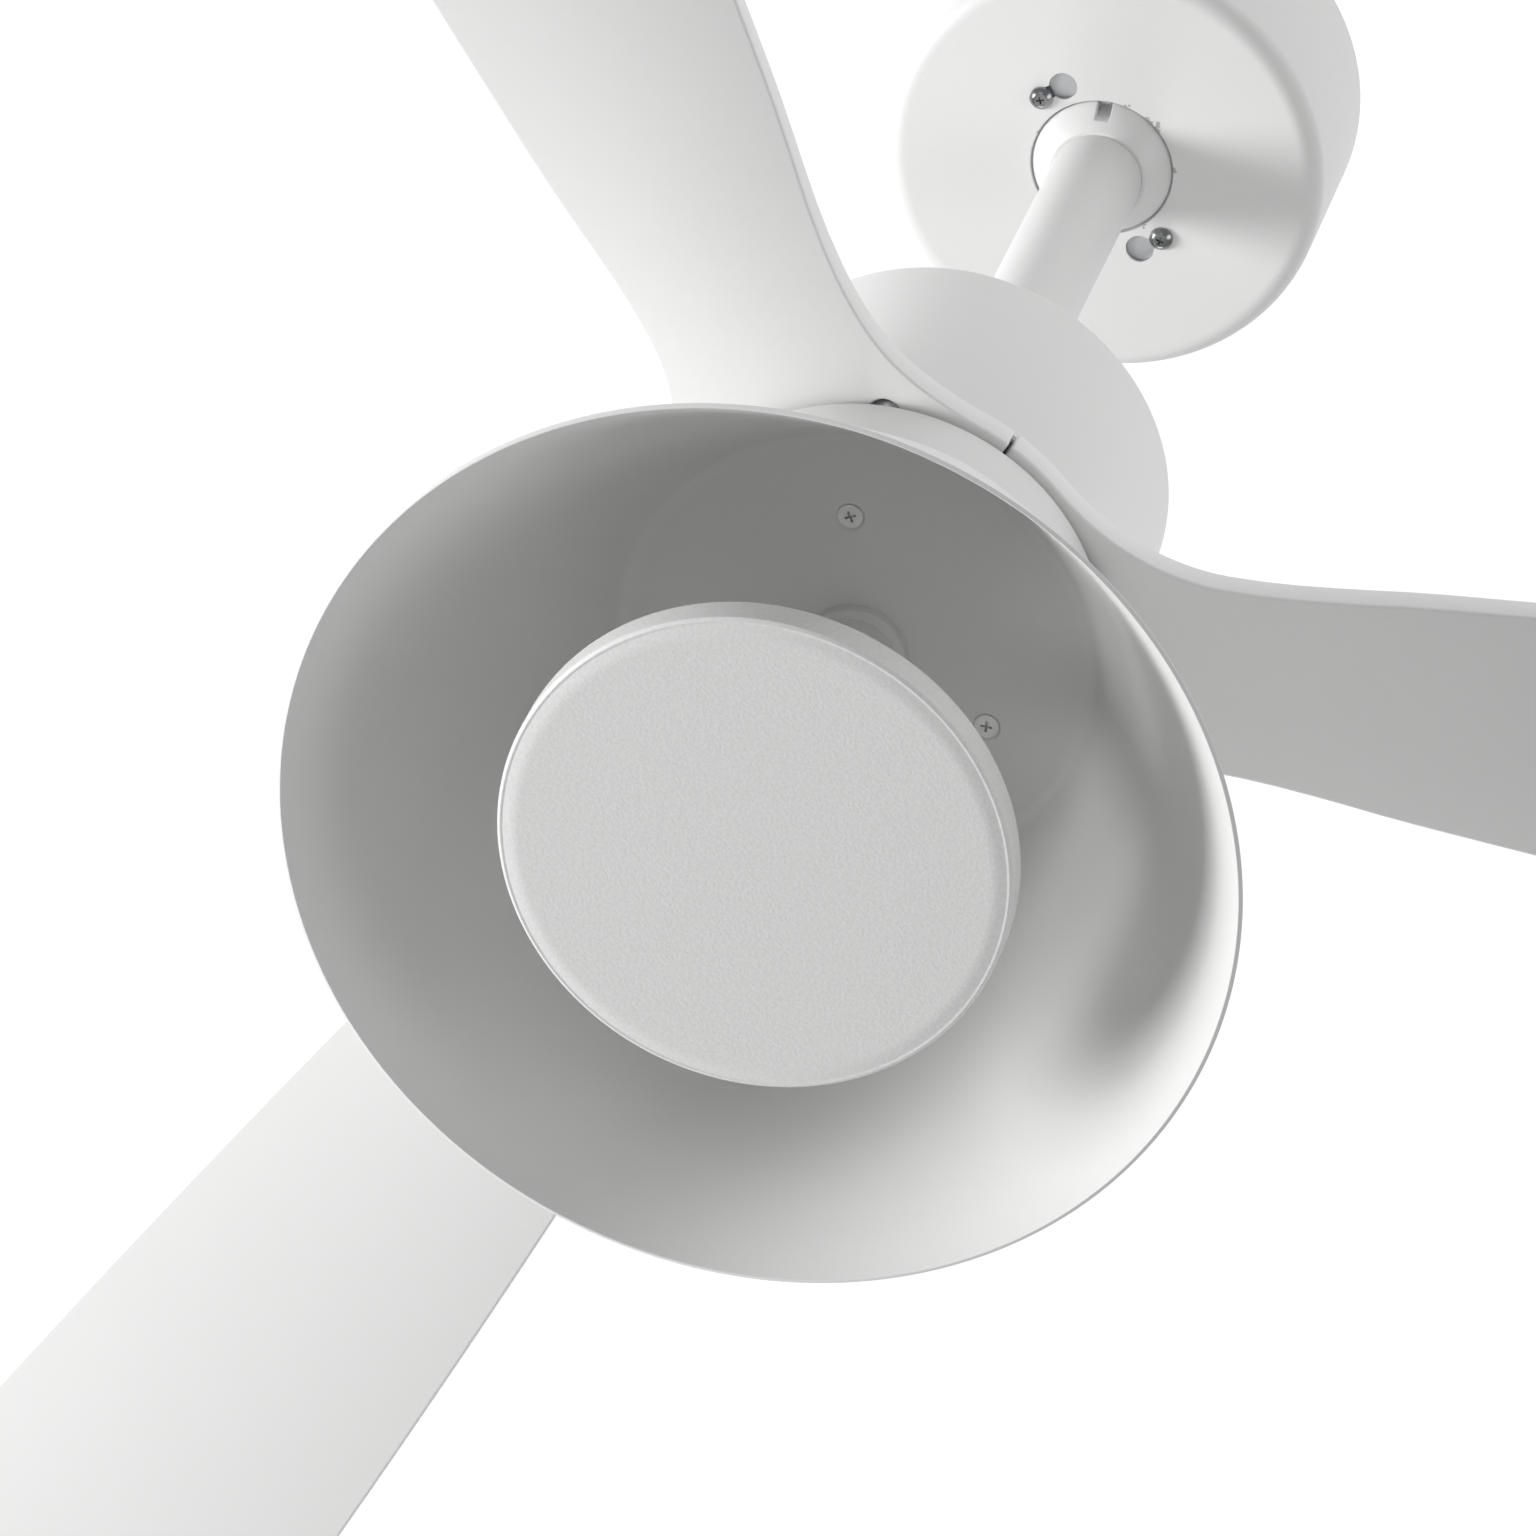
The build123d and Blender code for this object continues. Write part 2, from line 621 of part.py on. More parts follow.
# ================================================================ light kit
with BuildPart() as light_base:
    with BuildSketch(Plane.XY.offset(plate_top)):
        Circle(base_r)
    extrude(amount=base_top - plate_top)
    with BuildSketch(Plane.XY.offset(plate_top)):
        Circle(base_r - base_t)
    extrude(amount=base_top - base_lid_t - plate_top, mode=Mode.SUBTRACT)
    with BuildSketch(Plane.XY.offset(plate_top)):
        for az in shade_screw_az:
            with PolarLocations(shade_screw_at, 1, start_angle=az):
                Circle(shade_post_r)
    extrude(amount=base_top - base_lid_t - plate_top)
    with BuildSketch(Plane.XY.offset(plate_top)):
        for az in shade_screw_az:
            with PolarLocations(shade_screw_at, 1, start_angle=az):
                Circle(m5_r)
    extrude(amount=14.0, mode=Mode.SUBTRACT)
    with BuildSketch(Plane.XY.offset(base_top - base_lid_t)):
        Circle(shaft_r)
    extrude(amount=base_lid_t, mode=Mode.SUBTRACT)
    for az in shade_screw_az:
        with BuildSketch(Plane.XY.offset(plate_under)):
            with PolarLocations(shade_screw_at, 1, start_angle=az):
                Circle(csk_r)
        with BuildSketch(Plane.XY.offset(plate_under + csk_r - m5_r)):
            with PolarLocations(shade_screw_at, 1, start_angle=az):
                Circle(m5_r)
        loft(mode=Mode.SUBTRACT)
light_base.part.label = "light_base"

base_nut_h = 7.0
base_nut_z = base_top - base_lid_t - base_nut_h
with BuildPart() as base_nut:
    with BuildSketch(Plane.XY.offset(base_nut_z)):
        RegularPolygon(base_nut_af / 2, 6, major_radius=False)
        Circle(shaft_r, mode=Mode.SUBTRACT)
    extrude(amount=base_nut_h)
base_nut.part.label = "base_nut"

driver_az = 38.8
driver_h = 15.0
with BuildPart() as led_driver:
    with BuildSketch(Plane.XY.offset(base_top - base_lid_t - driver_h)):
        with PolarLocations(43.0, 1, start_angle=driver_az):
            RectangleRounded(28.0, 46.0, 2.0)
    extrude(amount=driver_h)
led_driver.part.label = "led_driver"

# The flat plate turns into a straight cone through a small bend.
with BuildPart() as shade:
    with BuildSketch(Plane.XZ):
        with BuildLine():
            FilletPolyline((0, plate_under), (plate_edge_r, plate_under),
                           (shade_rim_r, rim_z), radius=corner_r)
            offset(amount=shade_t, side=Side.LEFT, closed=True)
        make_face()
    revolve(axis=Axis.Z)
    with BuildSketch(Plane.XY.offset(plate_under)):
        Circle(spigot_r)
    extrude(amount=shade_t, mode=Mode.SUBTRACT)
    for az in shade_screw_az:
        with BuildSketch(Plane.XY.offset(plate_under)):
            with PolarLocations(shade_screw_at, 1, start_angle=az):
                Circle(csk_r)
        with BuildSketch(Plane.XY.offset(plate_under + csk_r - m5_r)):
            with PolarLocations(shade_screw_at, 1, start_angle=az):
                Circle(m5_r)
        loft(mode=Mode.SUBTRACT)
shade.part.label = "shade"

with BuildPart() as shade_screws:
    for az in shade_screw_az:
        with BuildSketch(Plane.XY.offset(plate_under)):
            with PolarLocations(shade_screw_at, 1, start_angle=az):
                Circle(csk_r)
        with BuildSketch(Plane.XY.offset(plate_under + csk_r - m5_r)):
            with PolarLocations(shade_screw_at, 1, start_angle=az):
                Circle(m5_r)
        loft()
        with BuildSketch(Plane.XY.offset(plate_under + csk_r - m5_r)):
            with PolarLocations(shade_screw_at, 1, start_angle=az):
                Circle(m5_r)
        extrude(amount=10.0)
        with BuildSketch(Plane.XY.offset(plate_under)):
            with PolarLocations(shade_screw_at, 1, start_angle=az):
                Rectangle(4.2, 0.9)
                Rectangle(0.9, 4.2)
        extrude(amount=1.4, mode=Mode.SUBTRACT)
shade_screws.part.label = "shade_screws"

cup_floor = disc_bottom + disc_wall
with BuildPart() as light_stem:
    with BuildSketch(Plane.XY.offset(cup_floor)):
        Circle(stem_r)
    extrude(amount=plate_under - cup_floor)
    with BuildSketch(Plane.XY.offset(plate_under - stem_collar_h)):
        Circle(stem_collar_r)
    extrude(amount=stem_collar_h)
    with BuildSketch(Plane.XY.offset(cup_floor)):
        Circle(foot_r)
    extrude(amount=foot_t)
    with BuildSketch(Plane.XY.offset(plate_under)):
        Circle(spigot_r)
    extrude(amount=spigot_top - plate_under)
    with BuildSketch(Plane.XY.offset(cup_floor)):
        Circle(stem_bore_r)
    extrude(amount=plate_under - 5.0 - cup_floor, mode=Mode.SUBTRACT)
    with BuildSketch(Plane.XY.offset(cup_floor)):
        Circle(spigot_bore_r)
        with PolarLocations(16.5, 3):
            Circle(1.5)
    extrude(amount=foot_t + 0.5, mode=Mode.SUBTRACT)
    with BuildSketch(Plane.XY.offset(plate_under - 6.0)):
        Circle(spigot_bore_r)
    extrude(amount=spigot_top - plate_under + 6.0, mode=Mode.SUBTRACT)
light_stem.part.label = "light_stem"

stem_nut_h = 5.0
with BuildPart() as stem_nut:
    with BuildSketch(Plane.XY.offset(plate_top)):
        RegularPolygon(stem_nut_af / 2, 6, major_radius=False)
        Circle(spigot_r, mode=Mode.SUBTRACT)
    extrude(amount=stem_nut_h)
stem_nut.part.label = "stem_nut"

with BuildPart() as disc_cup:
    with BuildSketch(Plane.XZ):
        with BuildLine():
            FilletPolyline((0, disc_bottom), (disc_r, disc_bottom), (disc_r, disc_top),
                           radius=disc_edge_r)
            offset(amount=disc_wall, side=Side.LEFT, closed=True)
        make_face()
    revolve(axis=Axis.Z)
    with BuildSketch(Plane.XY.offset(cup_floor)):
        with PolarLocations(16.5, 3):
            Circle(1.5)
    extrude(amount=-1.6, mode=Mode.SUBTRACT)
disc_cup.part.label = "disc_cup"

with BuildPart() as disc_screws:
    with BuildSketch(Plane.XY.offset(cup_floor + foot_t)):
        with PolarLocations(16.5, 3):
            Circle(2.7)
    extrude(amount=1.8)
    with BuildSketch(Plane.XY.offset(cup_floor - 1.6)):
        with PolarLocations(16.5, 3):
            Circle(1.5)
    extrude(amount=1.6 + foot_t)
    with BuildSketch(Plane.XY.offset(cup_floor + foot_t + 1.8)):
        with PolarLocations(16.5, 3):
            Rectangle(2.6, 0.6)
            Rectangle(0.6, 2.6)
    extrude(amount=-0.9, mode=Mode.SUBTRACT)
disc_screws.part.label = "disc_screws"

board_r = disc_r - disc_edge_r - 1.0
board_z = cup_floor + board_gap
with BuildPart() as led_board:
    with BuildSketch(Plane.XY.offset(board_z)):
        Circle(board_r)
        Circle(board_in_r, mode=Mode.SUBTRACT)
    extrude(amount=board_t)
    with BuildSketch(Plane.XY.offset(cup_floor)):
        with PolarLocations(60.0, 3, start_angle=30):
            Circle(3.0)
        with PolarLocations(30.0, 3, start_angle=30):
            Circle(3.0)
    extrude(amount=board_gap)
led_board.part.label = "led_board"

with BuildPart() as led_chips:
    with BuildSketch(Plane.XY.offset(board_z + board_t)):
        with PolarLocations(chip_at, chip_count):
            Rectangle(3.5, 2.8)
        with PolarLocations(chip_at - 16.0, chip_count // 2):
            Rectangle(3.5, 2.8)
    extrude(amount=0.7)
led_chips.part.label = "led_chips"

with BuildPart() as light_diffuser:
    with BuildSketch(Plane.XY.offset(disc_top - diffuser_t)):
        Circle(disc_r - disc_wall)
        Circle(stem_r, mode=Mode.SUBTRACT)
    extrude(amount=diffuser_t)
light_diffuser.part.label = "light_diffuser"

# ================================================================ files
pieces = [
    ceiling_bracket, canopy_screws, receiver_box, terminal_block, canopy,
    hanger_ball, ball_pin, downrod, rod_coupling, coupling_pin, grub_screws, coupling_cover,
    motor_shaft, bearing_inner_rings, stator_core, stator_windings, bearing_cages,
    bearing_outer_rings, motor_housing, upper_shield, housing_screws, lower_shield,
    rotor_yoke, magnets, blade_screws, light_base, base_nut, led_driver, shade,
    shade_screws, light_stem, stem_nut, disc_cup, disc_screws, led_board, led_chips,
    light_diffuser,
]
for piece in pieces:
    export_step(piece.part, f"parts/{piece.part.label}.step")
for blade in blades:
    export_step(blade, f"parts/{blade.label}.step")
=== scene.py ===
"""Looks of the ceiling fan with light: detailed pieces and materials around its CAD frame."""

from math import asin, atan, cos, pi, radians, sin, tan

import bpy
from bpy.props import FloatProperty, FloatVectorProperty, PointerProperty
from mathutils import Matrix, Vector


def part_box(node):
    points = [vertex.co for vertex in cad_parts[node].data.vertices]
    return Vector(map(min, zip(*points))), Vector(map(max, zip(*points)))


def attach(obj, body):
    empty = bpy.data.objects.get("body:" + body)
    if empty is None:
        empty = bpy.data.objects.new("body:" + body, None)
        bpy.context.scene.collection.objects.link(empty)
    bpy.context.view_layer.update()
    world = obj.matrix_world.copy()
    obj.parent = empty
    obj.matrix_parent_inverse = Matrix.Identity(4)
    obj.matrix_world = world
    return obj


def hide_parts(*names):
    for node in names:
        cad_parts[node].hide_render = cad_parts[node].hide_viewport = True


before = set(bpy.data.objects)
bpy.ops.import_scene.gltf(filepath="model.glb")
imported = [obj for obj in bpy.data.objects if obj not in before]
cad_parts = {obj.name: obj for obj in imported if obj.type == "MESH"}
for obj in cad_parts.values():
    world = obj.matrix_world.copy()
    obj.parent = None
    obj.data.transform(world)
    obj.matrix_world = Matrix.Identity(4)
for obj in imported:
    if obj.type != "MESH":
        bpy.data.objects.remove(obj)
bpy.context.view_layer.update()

bl_info = {
    "name": "Ceiling fan looks",
    "version": (1, 0, 0),
    "blender": (4, 5, 0),
    "location": "View3D > Sidebar > Fan",
    "description": "Models a ceiling fan's visible pieces and materials around its CAD frame",
    "category": "Object",
}

MM = 0.001


# ------------------------------------------------------------------ places read from the frame
class Drum:
    """A round node's radius and heights, read from the frame."""

    def __init__(self, node):
        low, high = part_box(node)
        self.radius = (high[0] - low[0]) / 2
        self.low = low[2]
        self.high = high[2]


def middle_of(node):
    """A node's middle in plan."""
    low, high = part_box(node)
    return (low[0] + high[0]) / 2, (low[1] + high[1]) / 2


CANOPY = Drum("canopy")
BALL = Drum("hanger_ball")
ROD = Drum("downrod")
COVER = Drum("coupling_cover")
HOUSING = Drum("motor_housing")
BASE = Drum("light_base")
SHADE = Drum("shade")
STEM = Drum("light_stem")
DISC = Drum("disc_cup")
DIFFUSER = Drum("light_diffuser")
BLADE_TOP = HOUSING.low

# Places of the blade screws (degrees from the blade's centre line, mm from the axis), of the
# bowl's screws (degrees), and of the blades (degrees).
BLADE_SCREWS = ((27.5, 65.6), (-20.0, 65.6), (0.0, 38.0))
PLATE_SCREWS = (-141.4, -21.2, 98.8)
BLADES = (75.5, 195.5, 315.5)
SINK_DEPTH = 3.6 * MM       # the blade screws' seats, sunk into the blade's lower face


# ------------------------------------------------------------------ settings
def length(name, about, default):
    return FloatProperty(name=name, description=about, default=default, unit="LENGTH", precision=5)


def turn(name, about, default):
    return FloatProperty(name=name, description=about, default=radians(default), subtype="ANGLE")


def factor(name, about, default):
    return FloatProperty(name=name, description=about, default=default, subtype="FACTOR",
                         min=0.0, max=1.0)


def colour(name, about, default):
    return FloatVectorProperty(name=name, description=about, default=default, subtype="COLOR",
                               size=3, min=0.0, max=1.0)


class FanSizes(bpy.types.PropertyGroup):
    """Sizes that the frame's boxes don't give."""

    canopy_wall: length("Canopy wall", "Thickness of the canopy's sheet", 1.2 * MM)
    canopy_edge: length("Canopy edge", "Radius of the canopy's lower edge", 7.0 * MM)
    canopy_hole: length("Canopy hole", "Radius of the hole around the ball", 24.0 * MM)
    keyhole_at: length("Keyhole place", "Distance of the keyholes from the axis", 31.0 * MM)
    keyhole_slot: length("Keyhole slot", "Width of the keyhole's narrow end", 4.4 * MM)
    keyhole_round: length("Keyhole round end", "Radius of the keyhole's wide end", 4.75 * MM)
    keyhole_turn: turn("Keyhole turn", "Angle from the narrow end to the wide end", 16.0)
    ball_radius: length("Ball radius", "Radius of the hanger ball", 26.5 * MM)
    ball_drop: length("Ball centre", "Depth of the ball's centre below the ceiling", 58.0 * MM)
    ball_slot: length("Ball slot", "Width of the ball's anti-turn slot", 5.0 * MM)
    ball_slot_floor: length("Slot floor", "Distance of the slot's floor from the axis", 19.0 * MM)
    ball_slot_turn: turn("Slot direction", "Direction of the ball's slot", -136.6)
    rod_wall: length("Rod wall", "Wall thickness of the rod", 2.0 * MM)
    housing_wall: length("Housing wall", "Wall thickness of the motor housing", 2.0 * MM)
    housing_lid: length("Housing lid", "Thickness of the housing's top", 2.5 * MM)
    housing_hole: length("Housing hole", "Radius of the hole round the coupling", 21.5 * MM)
    base_lid: length("Base lid", "Thickness of the light base's top", 3.0 * MM)
    shade_sheet: length("Shade sheet", "Thickness of the bowl's sheet", 1.5 * MM)
    shade_plate: length("Shade plate", "Radius at which the plate turns into the cone", 72.4 * MM)
    shade_bend: length("Shade bend", "Radius of the bend between plate and cone", 6.0 * MM)
    stem_radius: length("Stem radius", "Radius of the light's stem", 13.0 * MM)
    stem_collar: length("Stem collar", "Radius of the collar against the plate", 15.8 * MM)
    disc_wall: length("Disc wall", "Wall thickness of the disc's cup", 2.0 * MM)
    disc_edge: length("Disc edge", "Radius inside the disc's lower edge", 1.5 * MM)
    blade_thick: length("Blade thickness", "Thickness of a blade at its root", 9.7 * MM)
    blade_edge: length("Blade edge", "Radius of a blade's edges", 0.9 * MM)
    screw_ring: length("Screw ring", "Distance of the plate's screws from the axis", 44.8 * MM)


class FanColours(bpy.types.PropertyGroup):
    """Colours of the finishes."""

    coat: colour("White coat", "Powder coat of the metal pieces", (0.77, 0.77, 0.765))
    plastic: colour("White plastic", "Moulded plastic of the blades", (0.80, 0.80, 0.795))
    steel: colour("Steel", "Zinc-plated and ground steel", (0.56, 0.57, 0.58))
    bare: colour("Dark steel", "Black oxide and laminations", (0.13, 0.13, 0.14))
    cast: colour("Cast alloy", "Die-cast aluminium", (0.62, 0.63, 0.64))
    copper: colour("Copper", "Enamelled winding wire", (0.62, 0.25, 0.09))
    cream: colour("Cream plastic", "Plastic of the electrical boxes", (0.70, 0.69, 0.65))
    phosphor: colour("Phosphor", "Faces of the LED packages", (0.85, 0.66, 0.16))
    opal: colour("Opal", "Diffuser over the LED ring", (0.86, 0.86, 0.84))
    grime: colour("Grime", "Dust and scuffs", (0.34, 0.33, 0.31))


class FanTexture(bpy.types.PropertyGroup):
    """Strength and grain of the surface detail."""

    peel_grain: FloatProperty(name="Orange peel grain", description="Bumps per metre on the coat",
                              default=420.0)
    peel_height: length("Orange peel height", "Height of the coat's orange peel", 0.035 * MM)
    disc_grain: FloatProperty(name="Disc grain", description="Bumps per metre on the disc",
                              default=900.0)
    disc_height: length("Disc grain height", "Height of the disc's texture", 0.075 * MM)
    coat_rough: factor("Coat roughness", "Roughness of the white coat", 0.46)
    dirt: factor("Dirt", "How much dust and scuffing shows", 0.25)


def sizes():
    return bpy.context.scene.fan_sizes


def colours():
    return bpy.context.scene.fan_colours


def texture():
    return bpy.context.scene.fan_texture


# ------------------------------------------------------------------ shader maths
class Value:
    """A socket on which Python arithmetic adds Math nodes."""

    def __init__(self, tree, socket):
        self.tree = tree
        self.socket = socket

    def math(self, operation, *others):
        node = self.tree.nodes.new("ShaderNodeMath")
        node.operation = operation
        for slot, item in zip(node.inputs, (self, *others)):
            self.tree.put(slot, item)
        return Value(self.tree, node.outputs[0])

    def __add__(self, other):
        return self.math("ADD", other)

    __radd__ = __add__

    def __mul__(self, other):
        return self.math("MULTIPLY", other)

    __rmul__ = __mul__

    def __sub__(self, other):
        return self.math("SUBTRACT", other)

    def __rsub__(self, other):
        return self.math("MULTIPLY", -1.0).math("ADD", other)

    def __abs__(self):
        return self.math("ABSOLUTE")

    def band(self, low, high):
        """0 at low, 1 at high, smooth between."""
        return self.tree.node("ShaderNodeMapRange", {"interpolation_type": "SMOOTHSTEP"},
                              {"Value": self, "From Min": low, "From Max": high})


class Paint:
    """One material, with calls for the nodes that the finishes share."""

    def __init__(self, name):
        self.material = bpy.data.materials.new(name)
        self.material.use_nodes = True
        self.nodes = self.material.node_tree.nodes
        self.links = self.material.node_tree.links
        self.shader = self.nodes["Principled BSDF"]
        self.place = self.node("ShaderNodeTexCoord", out="Object")
        self.top_bump = None

    def put(self, slot, item):
        if isinstance(item, Value):
            self.links.new(item.socket, slot)
        elif isinstance(item, (tuple, list)) and slot.type == "RGBA" and len(item) == 3:
            slot.default_value = (*item, 1.0)
        else:
            slot.default_value = item

    def node(self, kind, settings=None, values=None, out=0):
        made = self.nodes.new(kind)
        for key, item in (settings or {}).items():
            setattr(made, key, item)
        for key, item in (values or {}).items():
            self.put(made.inputs[key], item)
        return Value(self, made.outputs[out])

    def set(self, **inputs):
        for key, item in inputs.items():
            self.put(self.shader.inputs[key.replace("_", " ")], item)

    def noise(self, scale, detail=2.0, rough=0.5, where=None):
        return self.node("ShaderNodeTexNoise", {},
                         {"Vector": where or self.place, "Scale": scale, "Detail": detail,
                          "Roughness": rough})

    def cells(self, scale):
        return self.node("ShaderNodeTexVoronoi", {}, {"Vector": self.place, "Scale": scale})

    def stretched(self, x, y, z):
        return self.node("ShaderNodeMapping", {}, {"Vector": self.place, "Scale": (x, y, z)})

    def axis(self, which):
        return self.node("ShaderNodeSeparateXYZ", {}, {"Vector": self.place}, out=which)

    def radius(self):
        x, y = self.axis("X"), self.axis("Y")
        return (x * x + y * y).math("SQRT")

    def mix(self, mask, first, second):
        made = self.nodes.new("ShaderNodeMix")
        made.data_type = "RGBA"
        self.put(made.inputs["Factor"], mask)
        self.put(made.inputs[6], tuple_of(first))
        self.put(made.inputs[7], tuple_of(second))
        return Value(self, made.outputs[2])

    def bump(self, height, distance):
        """Adds a layer of relief. Layers stack in the order of the calls."""
        values = {"Height": height, "Distance": distance, "Strength": 1.0}
        if self.top_bump:
            values["Normal"] = self.top_bump
        self.top_bump = self.node("ShaderNodeBump", {}, values)
        self.put(self.shader.inputs["Normal"], self.top_bump)


def tuple_of(item):
    return item if isinstance(item, Value) else (*item[:3], 1.0)


def shade_of(base, amount):
    """A colour made lighter or darker by a share."""
    return tuple(min(1.0, channel * (1.0 + amount)) for channel in base)


# ------------------------------------------------------------------ finishes
def white_coat(name, chips_at=None):
    """Satin powder coat with orange peel, faint dust and, where asked, chips round a hole."""
    skin = texture()
    paint = Paint(name)
    base = tuple(colours().coat)
    broad = paint.noise(9.0, 3.0)
    dust = paint.noise(60.0, 4.0, 0.65).band(0.60, 0.82)
    tone = paint.mix(broad, shade_of(base, -0.018), shade_of(base, 0.014))
    tone = paint.mix(dust * (0.10 * skin.dirt), tone, tuple(colours().grime))
    specks = paint.cells(150.0).band(0.035, 0.02) * paint.noise(23.0).band(0.60, 0.66)
    tone = paint.mix(specks * (0.9 * skin.dirt), tone, tuple(colours().grime))
    if chips_at:
        near, far = chips_at
        ring = paint.radius()
        flake = paint.noise(260.0, 3.0, 0.6) - ring.band(near, far) * 0.4
        side = paint.axis("X") * 0.19 - paint.axis("Y") * 0.98
        chip = (flake + side * 3.4).band(0.645, 0.66)
        tone = paint.mix(chip * 0.8, tone, tuple(colours().grime))
    rough = skin.coat_rough + (broad - 0.5) * 0.08 + dust * 0.08
    paint.set(Base_Color=tone, Roughness=rough)
    paint.bump(paint.noise(skin.peel_grain, 2.0, 0.45), skin.peel_height)
    paint.bump(paint.noise(2600.0, 1.0), 0.008 * MM)
    return paint.material


def disc_coat():
    """The disc's coarser, fine-grained powder coat."""
    skin = texture()
    paint = Paint("textured_coat")
    base = tuple(colours().coat)
    grain = paint.noise(skin.disc_grain, 2.0, 0.55)
    fine = paint.noise(2.1 * skin.disc_grain, 1.0)
    tone = paint.mix(grain.band(0.30, 0.70), shade_of(base, -0.05), shade_of(base, 0.025))
    tone = paint.mix(paint.noise(7.0, 2.0) * 0.2, tone, shade_of(base, -0.05))
    specks = paint.cells(110.0).band(0.03, 0.018) * paint.noise(19.0).band(0.62, 0.66)
    tone = paint.mix(specks * (2.0 * skin.dirt), tone, tuple(colours().grime))
    paint.set(Base_Color=tone, Roughness=0.50 + (grain - 0.5) * 0.12)
    paint.bump(grain, skin.disc_height)
    paint.bump(fine, 0.04 * MM)
    return paint.material


def moulded_white():
    """Satin injection-moulded plastic: faint flow lines, fine texture, slight dust."""
    paint = Paint("moulded_white")
    base = tuple(colours().plastic)
    flow = paint.noise(14.0, 3.0, 0.6)
    dust = paint.noise(48.0, 4.0, 0.7).band(0.62, 0.85)
    tone = paint.mix(flow, shade_of(base, -0.012), shade_of(base, 0.012))
    tone = paint.mix(dust * (0.12 * texture().dirt), tone, tuple(colours().grime))
    paint.set(Base_Color=tone, Roughness=0.40 + (flow - 0.5) * 0.08 + dust * 0.08)
    paint.shader.inputs["Coat Weight"].default_value = 0.06
    paint.bump(paint.noise(900.0, 2.0), 0.012 * MM)
    paint.bump(paint.noise(34.0, 1.0), 0.06 * MM)
    return paint.material


def bright_steel(name="bright_steel", base=None, rough=0.30, brush=(1.0, 1.0, 30.0), metal=1.0):
    """Plated or ground steel with fine drawn lines, water spots and scuffs."""
    paint = Paint(name)
    base = base or tuple(colours().steel)
    lines = paint.noise(130.0, 3.0, 0.6, paint.stretched(*brush))
    stain = paint.noise(38.0, 3.0).band(0.50, 0.72)
    tone = paint.mix(lines, shade_of(base, -0.14), shade_of(base, 0.12))
    tone = paint.mix(stain * 0.25, tone, shade_of(base, -0.35))
    paint.set(Base_Color=tone, Metallic=metal, Roughness=rough + lines * 0.14 + stain * 0.12)
    paint.bump(lines, 0.012 * MM)
    return paint.material


def cast_alloy():
    """Die-cast aluminium: grainy skin with darker flow marks."""
    paint = Paint("cast_alloy")
    base = tuple(colours().cast)
    skin = paint.noise(520.0, 4.0, 0.6)
    marks = paint.noise(26.0, 3.0, 0.6)
    tone = paint.mix(marks, shade_of(base, -0.12), shade_of(base, 0.08))
    paint.set(Base_Color=tone, Metallic=1.0, Roughness=0.42 + skin * 0.2)
    paint.bump(skin, 0.05 * MM)
    return paint.material


def laminations():
    """Stacked electrical steel: dark bands half a millimetre high."""
    paint = Paint("laminations")
    band = (paint.axis("Z") * (1000.0 / 0.5)).math("FRACT")
    edge = abs(band - 0.5).band(0.36, 0.46)
    tone = paint.mix(edge, shade_of(tuple(colours().steel), -0.35), tuple(colours().bare))
    paint.set(Base_Color=tone, Metallic=0.9, Roughness=0.40 + edge * 0.2)
    paint.bump(edge * -1.0, 0.04 * MM)
    return paint.material


def winding_wire():
    """Enamelled copper wire laid side by side round the teeth, with painted shade in the grooves
    between the turns.
    """
    paint = Paint("winding_wire")
    ring = (paint.radius() * (1000.0 / 0.9)).math("FRACT")
    groove = abs(ring - 0.5).band(0.30, 0.50)
    base = tuple(colours().copper)
    # The grooves between the turns are painted darker: painted shade, laid over their relief.
    tone = paint.mix(groove, base, shade_of(base, -0.6))
    tone = paint.mix(paint.noise(210.0) * 0.25, tone, shade_of(base, 0.35))
    paint.set(Base_Color=tone, Metallic=0.85, Roughness=0.28 + groove * 0.25)
    paint.bump(groove * -1.0, 0.25 * MM)
    return paint.material


def dark_ferrite():
    """Sintered magnets: dull grey-black with fine grain."""
    paint = Paint("dark_ferrite")
    grain = paint.noise(700.0, 4.0, 0.7)
    base = tuple(colours().bare)
    paint.set(Base_Color=paint.mix(grain, shade_of(base, -0.3), shade_of(base, 0.5)),
              Metallic=0.3, Roughness=0.5 + grain * 0.2)
    paint.bump(grain, 0.04 * MM)
    return paint.material


def cream_plastic(name, base):
    """Textured plastic of the electrical boxes."""
    paint = Paint(name)
    grain = paint.noise(1300.0, 3.0, 0.6)
    broad = paint.noise(30.0, 2.0)
    paint.set(Base_Color=paint.mix(broad, shade_of(base, -0.05), shade_of(base, 0.03)),
              Roughness=0.48 + grain * 0.15)
    paint.bump(grain, 0.05 * MM)
    return paint.material


def circuit_board():
    """White solder mask with copper tracks showing as faint raised rings."""
    paint = Paint("circuit_board")
    ring = abs((paint.radius() * (1000.0 / 8.0)).math("FRACT") - 0.5)
    track = ring.band(0.30, 0.34)
    base = (0.84, 0.84, 0.82)
    paint.set(Base_Color=paint.mix(track, base, shade_of(base, -0.12)),
              Roughness=0.32 + track * 0.1)
    paint.bump(track, 0.06 * MM)
    return paint.material


def phosphor():
    """Yellow silicone of unlit LED packages."""
    paint = Paint("phosphor")
    base = tuple(colours().phosphor)
    grain = paint.noise(900.0, 3.0)
    paint.set(Base_Color=paint.mix(grain, shade_of(base, -0.15), shade_of(base, 0.12)),
              Roughness=0.25 + grain * 0.2)
    paint.bump(grain, 0.03 * MM)
    return paint.material


